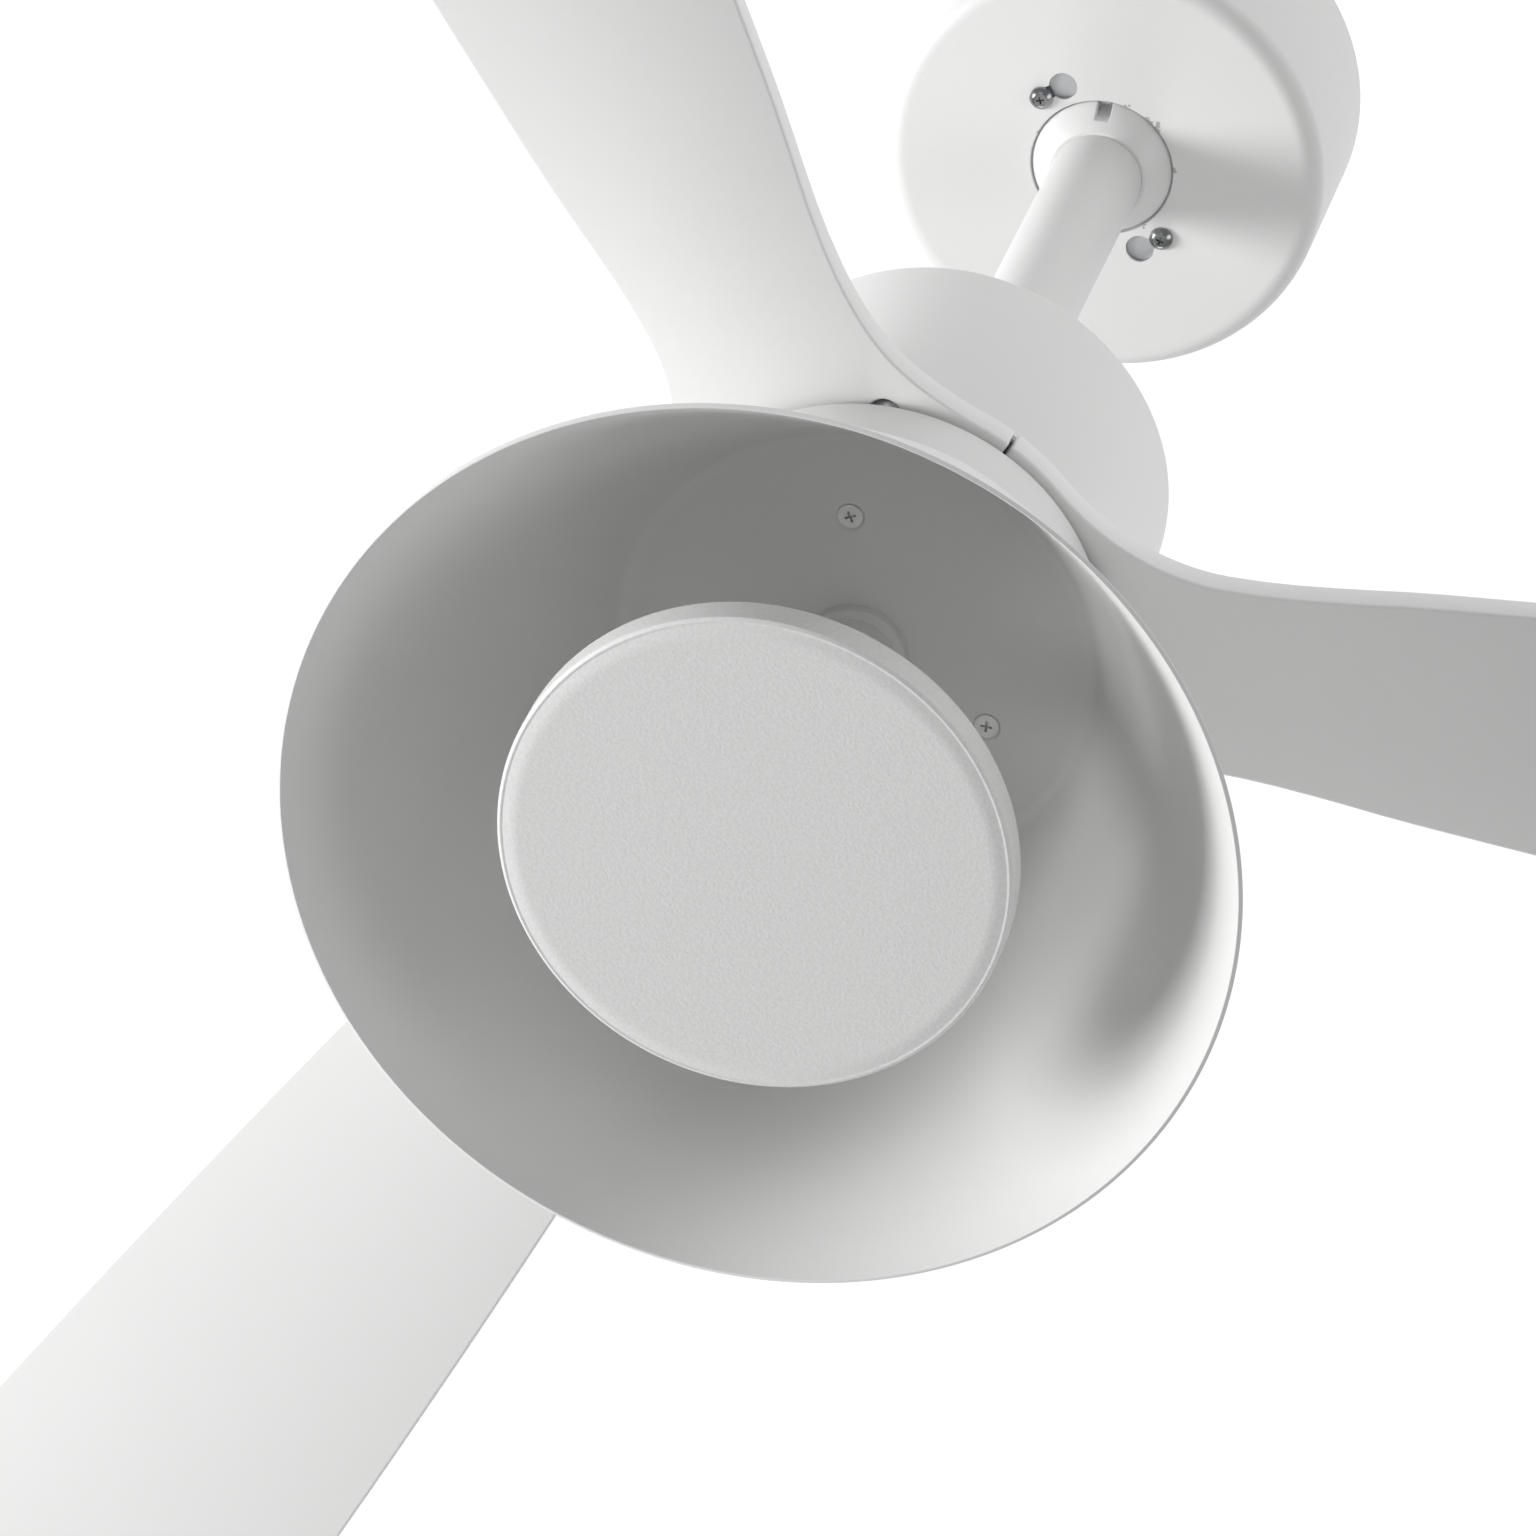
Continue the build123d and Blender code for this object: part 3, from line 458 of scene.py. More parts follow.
def opal_sheet():
    """Opal acrylic: satin, slightly waxy."""
    paint = Paint("opal_sheet")
    base = tuple(colours().opal)
    haze = paint.noise(40.0, 3.0)
    paint.set(Base_Color=paint.mix(haze, shade_of(base, -0.03), shade_of(base, 0.02)),
              Roughness=0.34 + haze * 0.12)
    paint.shader.inputs["Coat Weight"].default_value = 0.2
    paint.bump(paint.noise(1500.0), 0.01 * MM)
    return paint.material


FINISHES = {
    "coat": lambda: white_coat("white_coat"),
    "canopy": lambda: white_coat("canopy_coat", (sizes().canopy_hole, 30.0 * MM)),
    "disc": disc_coat,
    "plastic": moulded_white,
    "steel": bright_steel,
    "zinc": lambda: bright_steel("zinc_plate", shade_of(tuple(colours().steel), 0.1), 0.36,
                                 (40.0, 1.0, 1.0)),
    "pale_screw": lambda: bright_steel("pale_zinc", (0.90, 0.90, 0.89), 0.40, metal=0.15),
    "dark": lambda: bright_steel("black_oxide", tuple(colours().bare), 0.42),
    "screw": lambda: bright_steel("polished_screw", shade_of(tuple(colours().steel), -0.45), 0.14),
    "bearing": lambda: bright_steel("bearing_steel", shade_of(tuple(colours().steel), 0.2), 0.16),
    "cast": cast_alloy,
    "laminations": laminations,
    "wire": winding_wire,
    "ferrite": dark_ferrite,
    "cream": lambda: cream_plastic("cream_plastic", tuple(colours().cream)),
    "pale": lambda: cream_plastic("pale_plastic", shade_of(tuple(colours().cream), 0.15)),
    "board": circuit_board,
    "phosphor": phosphor,
    "opal": opal_sheet,
}
MADE = {}


def finish(name):
    if name not in MADE:
        MADE[name] = FINISHES[name]()
    return MADE[name]


# ------------------------------------------------------------------ modelling
def deselect():
    if bpy.context.object and bpy.context.object.mode != "OBJECT":
        bpy.ops.object.mode_set(mode="OBJECT")
    bpy.ops.object.select_all(action="DESELECT")


def only(piece):
    deselect()
    piece.select_set(True)
    bpy.context.view_layer.objects.active = piece


def settle(piece):
    """Puts the piece's place into its mesh."""
    only(piece)
    bpy.ops.object.transform_apply(location=True, rotation=True, scale=True)


def rounded(corners, steps=6):
    """A closed outline from corners (x, z) or (x, z, radius), with the radii as arcs."""
    outline = []
    count = len(corners)
    for i, corner in enumerate(corners):
        here = Vector(corner[:2])
        if len(corner) < 3 or corner[2] == 0:
            outline.append(tuple(here))
            continue
        back = (Vector(corners[i - 1][:2]) - here).normalized()
        ahead = (Vector(corners[(i + 1) % count][:2]) - here).normalized()
        half = back.angle(ahead) / 2
        reach = corner[2] / tan(half)
        middle = here + (back + ahead).normalized() * corner[2] / sin(half)
        start = here + back * reach - middle
        sweep = pi - 2 * half
        side = 1 if back.x * ahead.y - back.y * ahead.x < 0 else -1
        for k in range(steps + 1):
            angle = side * sweep * k / steps
            spoke = Vector((start.x * cos(angle) - start.y * sin(angle),
                            start.x * sin(angle) + start.y * cos(angle)))
            outline.append(tuple(middle + spoke))
    return outline


def ring_of(name, places):
    """A closed ring of edges through the given places."""
    deselect()
    bpy.ops.mesh.primitive_circle_add(vertices=len(places), radius=1.0)
    piece = bpy.context.object
    piece.name = name
    for vertex, place in zip(piece.data.vertices, places):
        vertex.co = place
    return piece


def lathe(name, corners, sides=144, steps=6):
    """Spins a rounded outline in the XZ plane about the fan axis."""
    piece = ring_of(name, [(x, 0.0, z) for x, z in rounded(corners, steps)])
    bpy.ops.object.mode_set(mode="EDIT")
    bpy.ops.mesh.select_all(action="SELECT")
    bpy.ops.mesh.spin(steps=sides, angle=2 * pi, center=(0, 0, 0), axis=(0, 0, 1))
    bpy.ops.mesh.select_all(action="SELECT")
    bpy.ops.mesh.remove_doubles(threshold=2e-6)
    bpy.ops.mesh.dissolve_degenerate(threshold=1e-6)
    bpy.ops.mesh.delete_loose(use_verts=True, use_edges=True, use_faces=False)
    bpy.ops.mesh.select_all(action="SELECT")
    bpy.ops.mesh.normals_make_consistent(inside=False)
    bpy.ops.object.mode_set(mode="OBJECT")
    return piece


def post(name, radius, low, high, at=(0.0, 0.0), sides=48):
    """An upright cylinder between two heights."""
    deselect()
    bpy.ops.mesh.primitive_cylinder_add(vertices=sides, radius=radius, depth=high - low,
                                        location=(at[0], at[1], (low + high) / 2))
    piece = bpy.context.object
    piece.name = name
    settle(piece)
    return piece


def block(name, size, at, turned=0.0):
    """A box of the given size about a middle, turned about Z."""
    deselect()
    bpy.ops.mesh.primitive_cube_add(size=1.0, location=at, rotation=(0, 0, turned), scale=size)
    piece = bpy.context.object
    piece.name = name
    settle(piece)
    return piece


def use_modifier(piece, kind, **settings):
    only(piece)
    modifier = piece.modifiers.new(kind.lower(), kind)
    for key, item in settings.items():
        setattr(modifier, key, item)
    bpy.ops.object.modifier_apply(modifier=modifier.name)


def cut(piece, cutters, operation="DIFFERENCE"):
    """Takes the cutters out of the piece, or joins them to it."""
    for cutter in cutters:
        use_modifier(piece, "BOOLEAN", object=cutter, operation=operation, solver="EXACT")
        bpy.data.objects.remove(cutter)


def soften(piece, width, angle=38.0, segments=2):
    """Rounds the edges that are sharper than an angle."""
    use_modifier(piece, "BEVEL", width=width, segments=segments, limit_method="ANGLE",
                 angle_limit=radians(angle), use_clamp_overlap=True)


def copy_of(piece, move=None):
    """A copy with its own mesh, moved by a matrix."""
    twin = piece.copy()
    twin.data = piece.data.copy()
    bpy.context.collection.objects.link(twin)
    if move is not None:
        twin.data.transform(move)
    return twin


def joined(pieces, name):
    """Makes one object of several."""
    only(pieces[0])
    for piece in pieces:
        piece.select_set(True)
    bpy.ops.object.join()
    pieces[0].name = name
    return pieces[0]


def polar(radius, angle):
    return radius * cos(angle), radius * sin(angle)


def done(piece, body, finish_name, node, smooth=32.0):
    """Gives a finished piece its material and its body, and hides the CAD node that it stands for.
    """
    only(piece)
    bpy.ops.object.shade_smooth_by_angle(angle=radians(smooth))
    piece.data.materials.clear()
    piece.data.materials.append(finish(finish_name))
    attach(piece, body)
    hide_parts(node)


def cross_recess(width, depth, mouth):
    """A cross-head recess: two tapered blades crossing on the axis, about the height mouth."""
    arms = []
    for angle in (0.0, pi / 2):
        arm = block("arm", (width, 0.22 * width, 2 * depth), (0, 0, mouth), angle)
        for vertex in arm.data.vertices:
            if vertex.co.z < mouth:
                vertex.co.x *= 0.45
                vertex.co.y *= 0.45
        arms.append(arm)
    cut(arms[0], [arms[1]], "UNION")
    return arms[0]


def pan_screw(head, shank, tall, domed, recess):
    """A pan-head screw on the axis, head down, seated at z = 0.

    head is the head's radius, shank the thread's radius, tall the shank's height above the head,
    domed the head's height below z = 0, recess the width of its cross.
    """
    body = lathe("pan", [(0.0, -domed), (0.62 * head, -domed, 0.4 * head),
                        (head, -0.42 * domed, 0.25 * domed), (head, 0.0), (shank, 0.0),
                        (shank, tall - 0.4 * MM), (shank - 0.4 * MM, tall), (0.0, tall)], 40, 5)
    cut(body, [cross_recess(recess, 0.62 * domed, -domed)])
    return body


def slab(name, outline, low, high):
    """A flat outline in plan, given thickness between two heights."""
    piece = ring_of(name, [(x, y, low) for x, y in outline])
    bpy.ops.object.mode_set(mode="EDIT")
    bpy.ops.mesh.select_all(action="SELECT")
    bpy.ops.mesh.edge_face_add()
    bpy.ops.mesh.extrude_region_move(TRANSFORM_OT_translate={"value": (0, 0, high - low)})
    bpy.ops.mesh.select_all(action="SELECT")
    bpy.ops.mesh.normals_make_consistent(inside=False)
    bpy.ops.object.mode_set(mode="OBJECT")
    return piece


def box_plan(wide, deep, corner, at=(0.0, 0.0)):
    """A rectangle in plan with round corners."""
    x, y = wide / 2, deep / 2
    return [(at[0] + a, at[1] + b) for a, b in rounded(
        [(-x, -y, corner), (x, -y, corner), (x, y, corner), (-x, y, corner)])]


def arc(radius, start, end, count):
    """Points of an arc about the axis, from one angle to another."""
    return [polar(radius, start + (end - start) * k / count) for k in range(count + 1)]


# ------------------------------------------------------------------ canopy and bracket
class FAN_OT_canopy(bpy.types.Operator):
    """Spins the canopy's cup and cuts its hole and keyholes"""

    bl_idname = "fan.canopy"
    bl_label = "Canopy"

    def execute(self, context):
        size = sizes()
        wall, edge, low, high = size.canopy_wall, size.canopy_edge, CANOPY.low, CANOPY.high
        lip = 0.35 * MM
        cup = lathe("canopy_cup", [
            (size.canopy_hole, low, lip), (CANOPY.radius, low, edge),
            (CANOPY.radius, high, lip), (CANOPY.radius - wall, high, lip),
            (CANOPY.radius - wall, low + wall, edge - wall), (size.canopy_hole, low + wall, lip)],
            160, 8)
        half = size.keyhole_slot / 2
        for side in (0.0, pi):
            start = side - radians(3)
            end = side + size.keyhole_turn
            inner = arc(size.keyhole_at - half, end, start, 12)
            outer = arc(size.keyhole_at + half, start, end, 12)
            x, y = polar(size.keyhole_at, start)
            nose = [(x + half * cos(a), y + half * sin(a))
                    for a in (start + pi + (k + 1) * pi / 9 for k in range(8))]
            channel = slab("channel", inner + nose + outer, low - MM, low + 3 * MM)
            wide = post("wide", size.keyhole_round, low - MM, low + 3 * MM,
                        polar(size.keyhole_at, end), 40)
            cut(cup, [channel, wide])
        soften(cup, 0.18 * MM, 50, 1)
        done(cup, "canopy_cup", "canopy", "canopy")
        return {"FINISHED"}


class FAN_OT_bracket(bpy.types.Operator):
    """Builds the ceiling bar with its legs and ball seat, the receiver box and the terminals"""

    bl_idname = "fan.bracket"
    bl_label = "Ceiling bracket"

    def execute(self, context):
        self.bar()
        self.receiver()
        self.terminals()
        return {"FINISHED"}

    def bar(self):
        size = sizes()
        low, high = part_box("ceiling_bracket")
        thick = 2.5 * MM
        seat_low, seat_top = low.z, low.z + 6.5 * MM
        bar = slab("bar", box_plan(high.x - low.x, 36 * MM, 4 * MM), high.z - thick, high.z)
        for x in (-46 * MM, 46 * MM):
            oblong = box_plan(16 * MM, 5.5 * MM, 2.74 * MM, (x, 0.0))
            cut(bar, [slab("slot", oblong, high.z - 2 * thick, high.z + thick)])
        drop = -size.ball_drop
        cup = size.ball_radius + 0.05 * MM
        seat = [((cup ** 2 - (z - drop) ** 2) ** 0.5, z)
                for z in (seat_low + (seat_top - seat_low) * k / 8 for k in range(9))]
        ring = lathe("seat", [*seat[::-1], (38 * MM, seat_low, 0.6 * MM),
                              (38 * MM, seat_top, 0.6 * MM)], 112, 3)
        turn = size.ball_slot_turn
        key = block("key", (5.6 * MM, 3.6 * MM, seat_top - seat_low),
                    (*polar(25.4 * MM, turn), (seat_low + seat_top) / 2), turn)
        legs = [block("leg", (thick, 26 * MM, high.z - thick / 2 - seat_top + MM),
                      (x, 0, (high.z - thick / 2 + seat_top - MM) / 2))
                for x in (-36 * MM, 36 * MM)]
        cut(bar, [ring, key, *legs], "UNION")
        cut(bar, [post("tap", 2 * MM, seat_low - MM, seat_top + MM, (x, 0.0), 28)
                  for x in (-size.keyhole_at, size.keyhole_at)])
        soften(bar, 0.3 * MM, 50, 2)
        bar.name = "ceiling_bar"
        done(bar, "ceiling_mount", "zinc", "ceiling_bracket")

    def receiver(self):
        low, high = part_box("receiver_box")
        x, y = middle_of("receiver_box")
        wide, deep = high.x - low.x, high.y - low.y
        shell = slab("receiver_case", box_plan(wide, deep, 2 * MM, (x, y)), low.z + 5 * MM, high.z)
        seam = slab("seam", box_plan(wide - MM, deep - MM, 1.5 * MM, (x, y)),
                    low.z + 4 * MM, low.z + 6 * MM)
        lid = slab("lid", box_plan(wide, deep, 2 * MM, (x, y)), low.z, low.z + 4.5 * MM)
        cut(shell, [seam, lid], "UNION")
        ribs = [block("rib", (1.2 * MM, deep - 8 * MM, 2 * MM),
                      (x + step * 3 * MM, y, low.z)) for step in (-3, -2, -1, 0, 1, 2, 3)]
        cut(shell, ribs)
        soften(shell, 0.4 * MM, 50, 2)
        done(shell, "ceiling_mount", "cream", "receiver_box")

    def terminals(self):
        low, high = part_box("terminal_block")
        x, y = middle_of("terminal_block")
        wide, deep = high.x - low.x, high.y - low.y
        strip = slab("terminal_strip", box_plan(wide, deep, 0.8 * MM, (x, y)), low.z, high.z)
        wells = []
        for step in (-1, 0, 1):
            at = (x, y + step * 8 * MM)
            wells.append(post("well", 1.8 * MM, low.z - MM, low.z + 5 * MM, at, 28))
            wells.append(block("entry", (wide + 2 * MM, 3.2 * MM, 3.2 * MM),
                               (*at, low.z + 9 * MM)))
        for step in (-0.5, 0.5):
            wells.append(block("divide", (wide + 2 * MM, 0.9 * MM, 2.4 * MM),
                               (x, y + step * 8 * MM, low.z)))
        cut(strip, wells)
        soften(strip, 0.25 * MM, 50, 1)
        done(strip, "ceiling_mount", "pale", "terminal_block")


class FAN_OT_hanger_ball(bpy.types.Operator):
    """Spins the hanger ball and cuts its anti-turn slot"""

    bl_idname = "fan.hanger_ball"
    bl_label = "Hanger ball"

    def execute(self, context):
        size = sizes()
        radius, drop = size.ball_radius, -size.ball_drop
        bottom, top = asin((BALL.low - drop) / radius), asin((BALL.high - drop) / radius)
        skin = [(radius * cos(a), drop + radius * sin(a))
                for a in (bottom + (top - bottom) * k / 36 for k in range(37))]
        bore = ROD.radius
        ball = lathe("hanger_ball_shell", [(bore, BALL.low), *skin, (bore, BALL.high)], 112, 3)
        reach = radius + 4 * MM - size.ball_slot_floor
        x, y = polar(size.ball_slot_floor + reach / 2, size.ball_slot_turn)
        cut(ball, [block("slot", (reach, size.ball_slot, 60 * MM), (x, y, drop),
                         size.ball_slot_turn)])
        soften(ball, 0.35 * MM, 40, 2)
        done(ball, "hanger", "plastic", "hanger_ball")
        return {"FINISHED"}


class FAN_OT_rod(bpy.types.Operator):
    """Spins the hanging rod and the cover over its coupling"""

    bl_idname = "fan.rod"
    bl_label = "Rod and coupling cover"

    def execute(self, context):
        size = sizes()
        lip = 0.5 * MM
        bore = ROD.radius - size.rod_wall
        tube = lathe("hanging_rod", [
            (bore, ROD.low, lip), (ROD.radius, ROD.low, lip),
            (ROD.radius, ROD.high, lip), (bore, ROD.high, lip)], 96, 3)
        use_modifier(tube, "WELD", merge_threshold=1e-6)
        done(tube, "hanger", "coat", "downrod")
        cover = lathe("coupling_cap", [
            (ROD.radius, COVER.high, 0.3 * MM), (COVER.radius, COVER.high, 4 * MM),
            (COVER.radius, COVER.low, 0.3 * MM), (COVER.radius - 1.5 * MM, COVER.low, 0.3 * MM),
            (COVER.radius - 1.5 * MM, COVER.high - 1.5 * MM, 2.5 * MM),
            (ROD.radius, COVER.high - 1.5 * MM)], 112)
        done(cover, "hanger", "coat", "coupling_cover")
        return {"FINISHED"}


# ------------------------------------------------------------------ motor and blades
class FAN_OT_motor_housing(bpy.types.Operator):
    """Spins the motor housing and cuts the holes for its four lid screws"""

    bl_idname = "fan.motor_housing"
    bl_label = "Motor housing"

    def execute(self, context):
        size = sizes()
        low, high, radius = HOUSING.low, HOUSING.high, HOUSING.radius
        wall, lid = size.housing_wall, size.housing_lid
        shell = lathe("motor_shell", [
            (size.housing_hole, high, 0.6 * MM), (radius, high, 3 * MM),
            (radius, low + 0.7 * MM, 0.2 * MM), (radius - 0.7 * MM, low + 0.7 * MM),
            (radius - 0.7 * MM, low), (radius - wall, low, 0.3 * MM),
            (radius - wall, high - lid, MM), (size.housing_hole, high - lid, 0.3 * MM)], 192)
        for k in range(4):
            cut(shell, [post("hole", 2 * MM, high - 5 * MM, high + 2 * MM,
                             polar(45 * MM, k * pi / 2), 24)])
        soften(shell, 0.2 * MM, 60, 1)
        done(shell, "rotor", "coat", "motor_housing")
        return {"FINISHED"}


def hermite(points, start, end, steps):
    """A smooth line through points, leaving along start and arriving along end."""
    line = [Vector(p) for p in points]
    gaps = [(b - a).length for a, b in zip(line, line[1:])]
    slopes = [Vector(start).normalized()]
    for i in range(1, len(line) - 1):
        slope = (line[i] - line[i - 1]) / gaps[i - 1] * gaps[i]
        slope += (line[i + 1] - line[i]) / gaps[i] * gaps[i - 1]
        slopes.append(slope / (gaps[i - 1] + gaps[i]))
    slopes.append(Vector(end).normalized())
    made = []
    for i, gap in enumerate(gaps):
        for k in range(steps):
            t = k / steps
            made.append(line[i] * (2 * t ** 3 - 3 * t ** 2 + 1)
                        + slopes[i] * gap * (t ** 3 - 2 * t ** 2 + t)
                        + line[i + 1] * (3 * t ** 2 - 2 * t ** 3)
                        + slopes[i + 1] * gap * (t ** 3 - t ** 2))
    made.append(line[-1])
    return [(p.x, p.y) for p in made]


class Blade:
    """The outline of one blade, lying along X: u runs outwards and v towards the leading edge."""

    hub = 72.2 * MM
    hole = 22.0 * MM
    gap = 1.5 * MM
    reach = 660.0 * MM
    neck = 104.0 * MM
    widening = ((0.14, 0.20), (0.28, 0.38), (0.42, 0.54), (0.56, 0.68), (0.70, 0.80), (0.85, 0.92))
    stations = ((72.2, 0.0, 9.7), (105.6, 1.6, 9.7), (145.2, 4.0, 9.7), (422.4, 5.5, 8.35),
                (670.0, 7.0, 7.0))

    def edge(self, neck_v, wide_v):
        wide = 0.86 * self.reach
        return [(self.neck + a * (wide - self.neck), neck_v + b * (wide_v - neck_v))
                for a, b in ((0, 0), *self.widening, (1, 1))]

    def outline(self):
        lead_v, trail_v = 69 * MM, -63 * MM
        lead = self.edge(35.8 * MM, lead_v)
        trail = self.edge(-27.4 * MM, trail_v)
        lead_az, trail_az = radians(52), radians(-45)
        on_lead, on_trail = polar(self.hub, lead_az), polar(self.hub, trail_az)
        tip_lead, tip_trail = (self.reach, lead_v - 40 * MM), (self.reach, trail_v + 40 * MM)
        side = hermite([on_lead, (76 * MM, 39.2 * MM), lead[0]],
                       (sin(lead_az), -cos(lead_az)), (1, 0), 9)
        side += hermite(lead, (1, 0), (1, 0), 6)[1:]
        side += hermite([lead[-1], tip_lead], (1, 0), (0, -1), 14)[1:]
        side += hermite([tip_lead, tip_trail], (0, -1), (0, -1), 6)[1:]
        side += hermite([tip_trail, trail[-1]], (0, -1), (-1, 0), 14)[1:]
        side += hermite(trail[::-1], (-1, 0), (-1, 0), 6)[1:]
        side += hermite([trail[0], (74 * MM, -34.2 * MM), on_trail],
                        (-1, 0), (sin(trail_az), -cos(trail_az)), 9)[1:]
        return side + self.mitre(-1, trail_az) + self.mitre(1, lead_az)[::-1]

    def mitre(self, flip, edge_az):
        """Along the hub circle, then down the mitre towards the hole, on one side."""
        offset = self.gap / 2
        outer = pi / 3 - asin(offset / self.hub)
        inner = pi / 3 - asin(offset / self.hole)
        line = arc(self.hub, edge_az, flip * outer, 6)[1:]
        start, end = Vector(line[-1]), Vector(polar(self.hole, flip * inner))
        line += [tuple(start.lerp(end, k / 8)) for k in range(1, 8)]
        line += arc(self.hole, flip * inner, 0.0, 12)
        return line if flip < 0 else line[:-1]

    def pitch(self, u):
        """The blade's turn about its length and its thickness, at a distance from the axis."""
        rows = self.stations
        u = u / MM
        if u <= rows[0][0]:
            return 0.0, rows[0][2] * MM
        for (u0, p0, t0), (u1, p1, t1) in zip(rows, rows[1:]):
            if u <= u1:
                share = (u - u0) / (u1 - u0)
                return radians(p0 + share * (p1 - p0)), (t0 + share * (t1 - t0)) * MM
        return radians(rows[-1][1]), rows[-1][2] * MM


class FAN_OT_blades(bpy.types.Operator):
    """Models one moulded blade and copies it round the hub"""

    bl_idname = "fan.blades"
    bl_label = "Blades"

    def execute(self, context):
        size = sizes()
        plan = Blade()
        thick = size.blade_thick
        middle = BLADE_TOP - thick / 2
        blade = slab("blade_shape", plan.outline(), -thick / 2, thick / 2)
        for az, reach in BLADE_SCREWS:
            at = polar(reach * MM, radians(az))
            cut(blade, [post("sink", 5.2 * MM, -thick, -thick / 2 + SINK_DEPTH, at, 40),
                        post("hole", 2.0 * MM, -thick, thick, at, 24)])
        soften(blade, size.blade_edge, 45, 3)
        only(blade)
        bpy.ops.object.mode_set(mode="EDIT")
        for k in range(1, 40):
            bpy.ops.mesh.select_all(action="SELECT")
            u = plan.hub + (plan.reach - plan.hub) * k / 40
            bpy.ops.mesh.bisect(plane_co=(u, 0, 0), plane_no=(1, 0, 0))
        bpy.ops.object.mode_set(mode="OBJECT")
        for vertex in blade.data.vertices:
            place = vertex.co
            angle, deep = plan.pitch(place.x)
            z = place.z * deep / thick
            vertex.co = (place.x, place.y * cos(angle) - z * sin(angle),
                         middle + place.y * tan(angle) + z)
        for k, az in enumerate(BLADES, 1):
            one = copy_of(blade, Matrix.Rotation(radians(az), 4, "Z"))
            one.name = f"fan_blade_{k}"
            done(one, "rotor", "plastic", f"blade_{k}", smooth=40)
        bpy.data.objects.remove(blade)
        return {"FINISHED"}


# ------------------------------------------------------------------ light
class FAN_OT_light_base(bpy.types.Operator):
    """Spins the drum above the bowl and adds its three screw posts"""

    bl_idname = "fan.light_base"
    bl_label = "Light base"

    def execute(self, context):
        size = sizes()
        lid = size.base_lid
        drum = lathe("light_drum", [
            (8.5 * MM, BASE.high, 0.3 * MM), (BASE.radius, BASE.high, 1.2 * MM),
            (BASE.radius, BASE.low, 0.2 * MM), (BASE.radius - 2 * MM, BASE.low, 0.2 * MM),
            (BASE.radius - 2 * MM, BASE.high - lid, 1.5 * MM),
            (8.5 * MM, BASE.high - lid, 0.3 * MM)], 176)
        for az in PLATE_SCREWS:
            at = polar(size.screw_ring, radians(az))
            cut(drum, [post("leg", 6 * MM, BASE.low, BASE.high - 1.5 * MM, at, 40)], "UNION")
            cut(drum, [post("bore", 2.5 * MM, BASE.low - MM, BASE.low + 14 * MM, at, 24)])
        done(drum, "hanger", "coat", "light_base")
        return {"FINISHED"}


class FAN_OT_shade(bpy.types.Operator):
    """Spins the bowl from its plate, bend and cone, and cuts the countersunk holes for its screws
    """

    bl_idname = "fan.shade"
    bl_label = "Bowl"

    def execute(self, context):
        size = sizes()
        sheet, bend = size.shade_sheet, size.shade_bend
        under = SHADE.high - sheet
        rim = SHADE.low
        plate = size.shade_plate
        slope = atan((SHADE.radius - 0.9 * sheet - plate) / (under - rim))
        inner_rim = SHADE.radius - sheet * cos(slope)
        top_corner = plate + sheet * tan((pi / 2 - slope) / 2)
        bowl = lathe("bowl", [
            (6 * MM, SHADE.high), (top_corner, SHADE.high, bend + sheet),
            (inner_rim + sheet * cos(slope), rim + sheet * sin(slope), 0.3 * MM),
            (inner_rim, rim, 0.3 * MM), (plate, under, bend), (6 * MM, under)], 256, 10)
        for az in PLATE_SCREWS:
            at = polar(size.screw_ring, radians(az))
            sink = lathe("sink", [(0.0, under - 1.5 * MM), (6.35 * MM, under - 1.5 * MM),
                                  (2.5 * MM, under + 2.15 * MM), (0.0, under + 2.15 * MM)], 40, 1)
            sink.data.transform(Matrix.Translation((*at, 0.0)))
            cut(bowl, [sink, post("hole", 2.5 * MM, under - 2 * MM, under + 4 * MM, at, 32)])
        done(bowl, "hanger", "coat", "shade")
        return {"FINISHED"}


class FAN_OT_light_stem(bpy.types.Operator):
    """Spins the hollow stem that carries the disc, with its collar, foot and spigot"""

    bl_idname = "fan.light_stem"
    bl_label = "Light stem"

    def execute(self, context):
        size = sizes()
        under = SHADE.high - size.shade_sheet
        foot = STEM.low
        stem = lathe("disc_stem", [
            (4 * MM, foot, 0.2 * MM), (20 * MM, foot, 0.5 * MM),
            (20 * MM, foot + 2.5 * MM, 0.5 * MM),
            (size.stem_radius, foot + 2.5 * MM, MM),
            (size.stem_radius, under - 4 * MM, 0.4 * MM),
            (size.stem_collar, under - 4 * MM, 0.5 * MM), (size.stem_collar, under, 0.2 * MM),
            (6 * MM, under), (6 * MM, STEM.high, 0.4 * MM), (4 * MM, STEM.high, 0.2 * MM),
            (4 * MM, under - 5 * MM), (10.5 * MM, under - 5 * MM, MM),
            (10.5 * MM, foot + 3 * MM, 0.3 * MM), (4 * MM, foot + 3 * MM)], 112, 4)
        done(stem, "hanger", "coat", "light_stem")
        return {"FINISHED"}


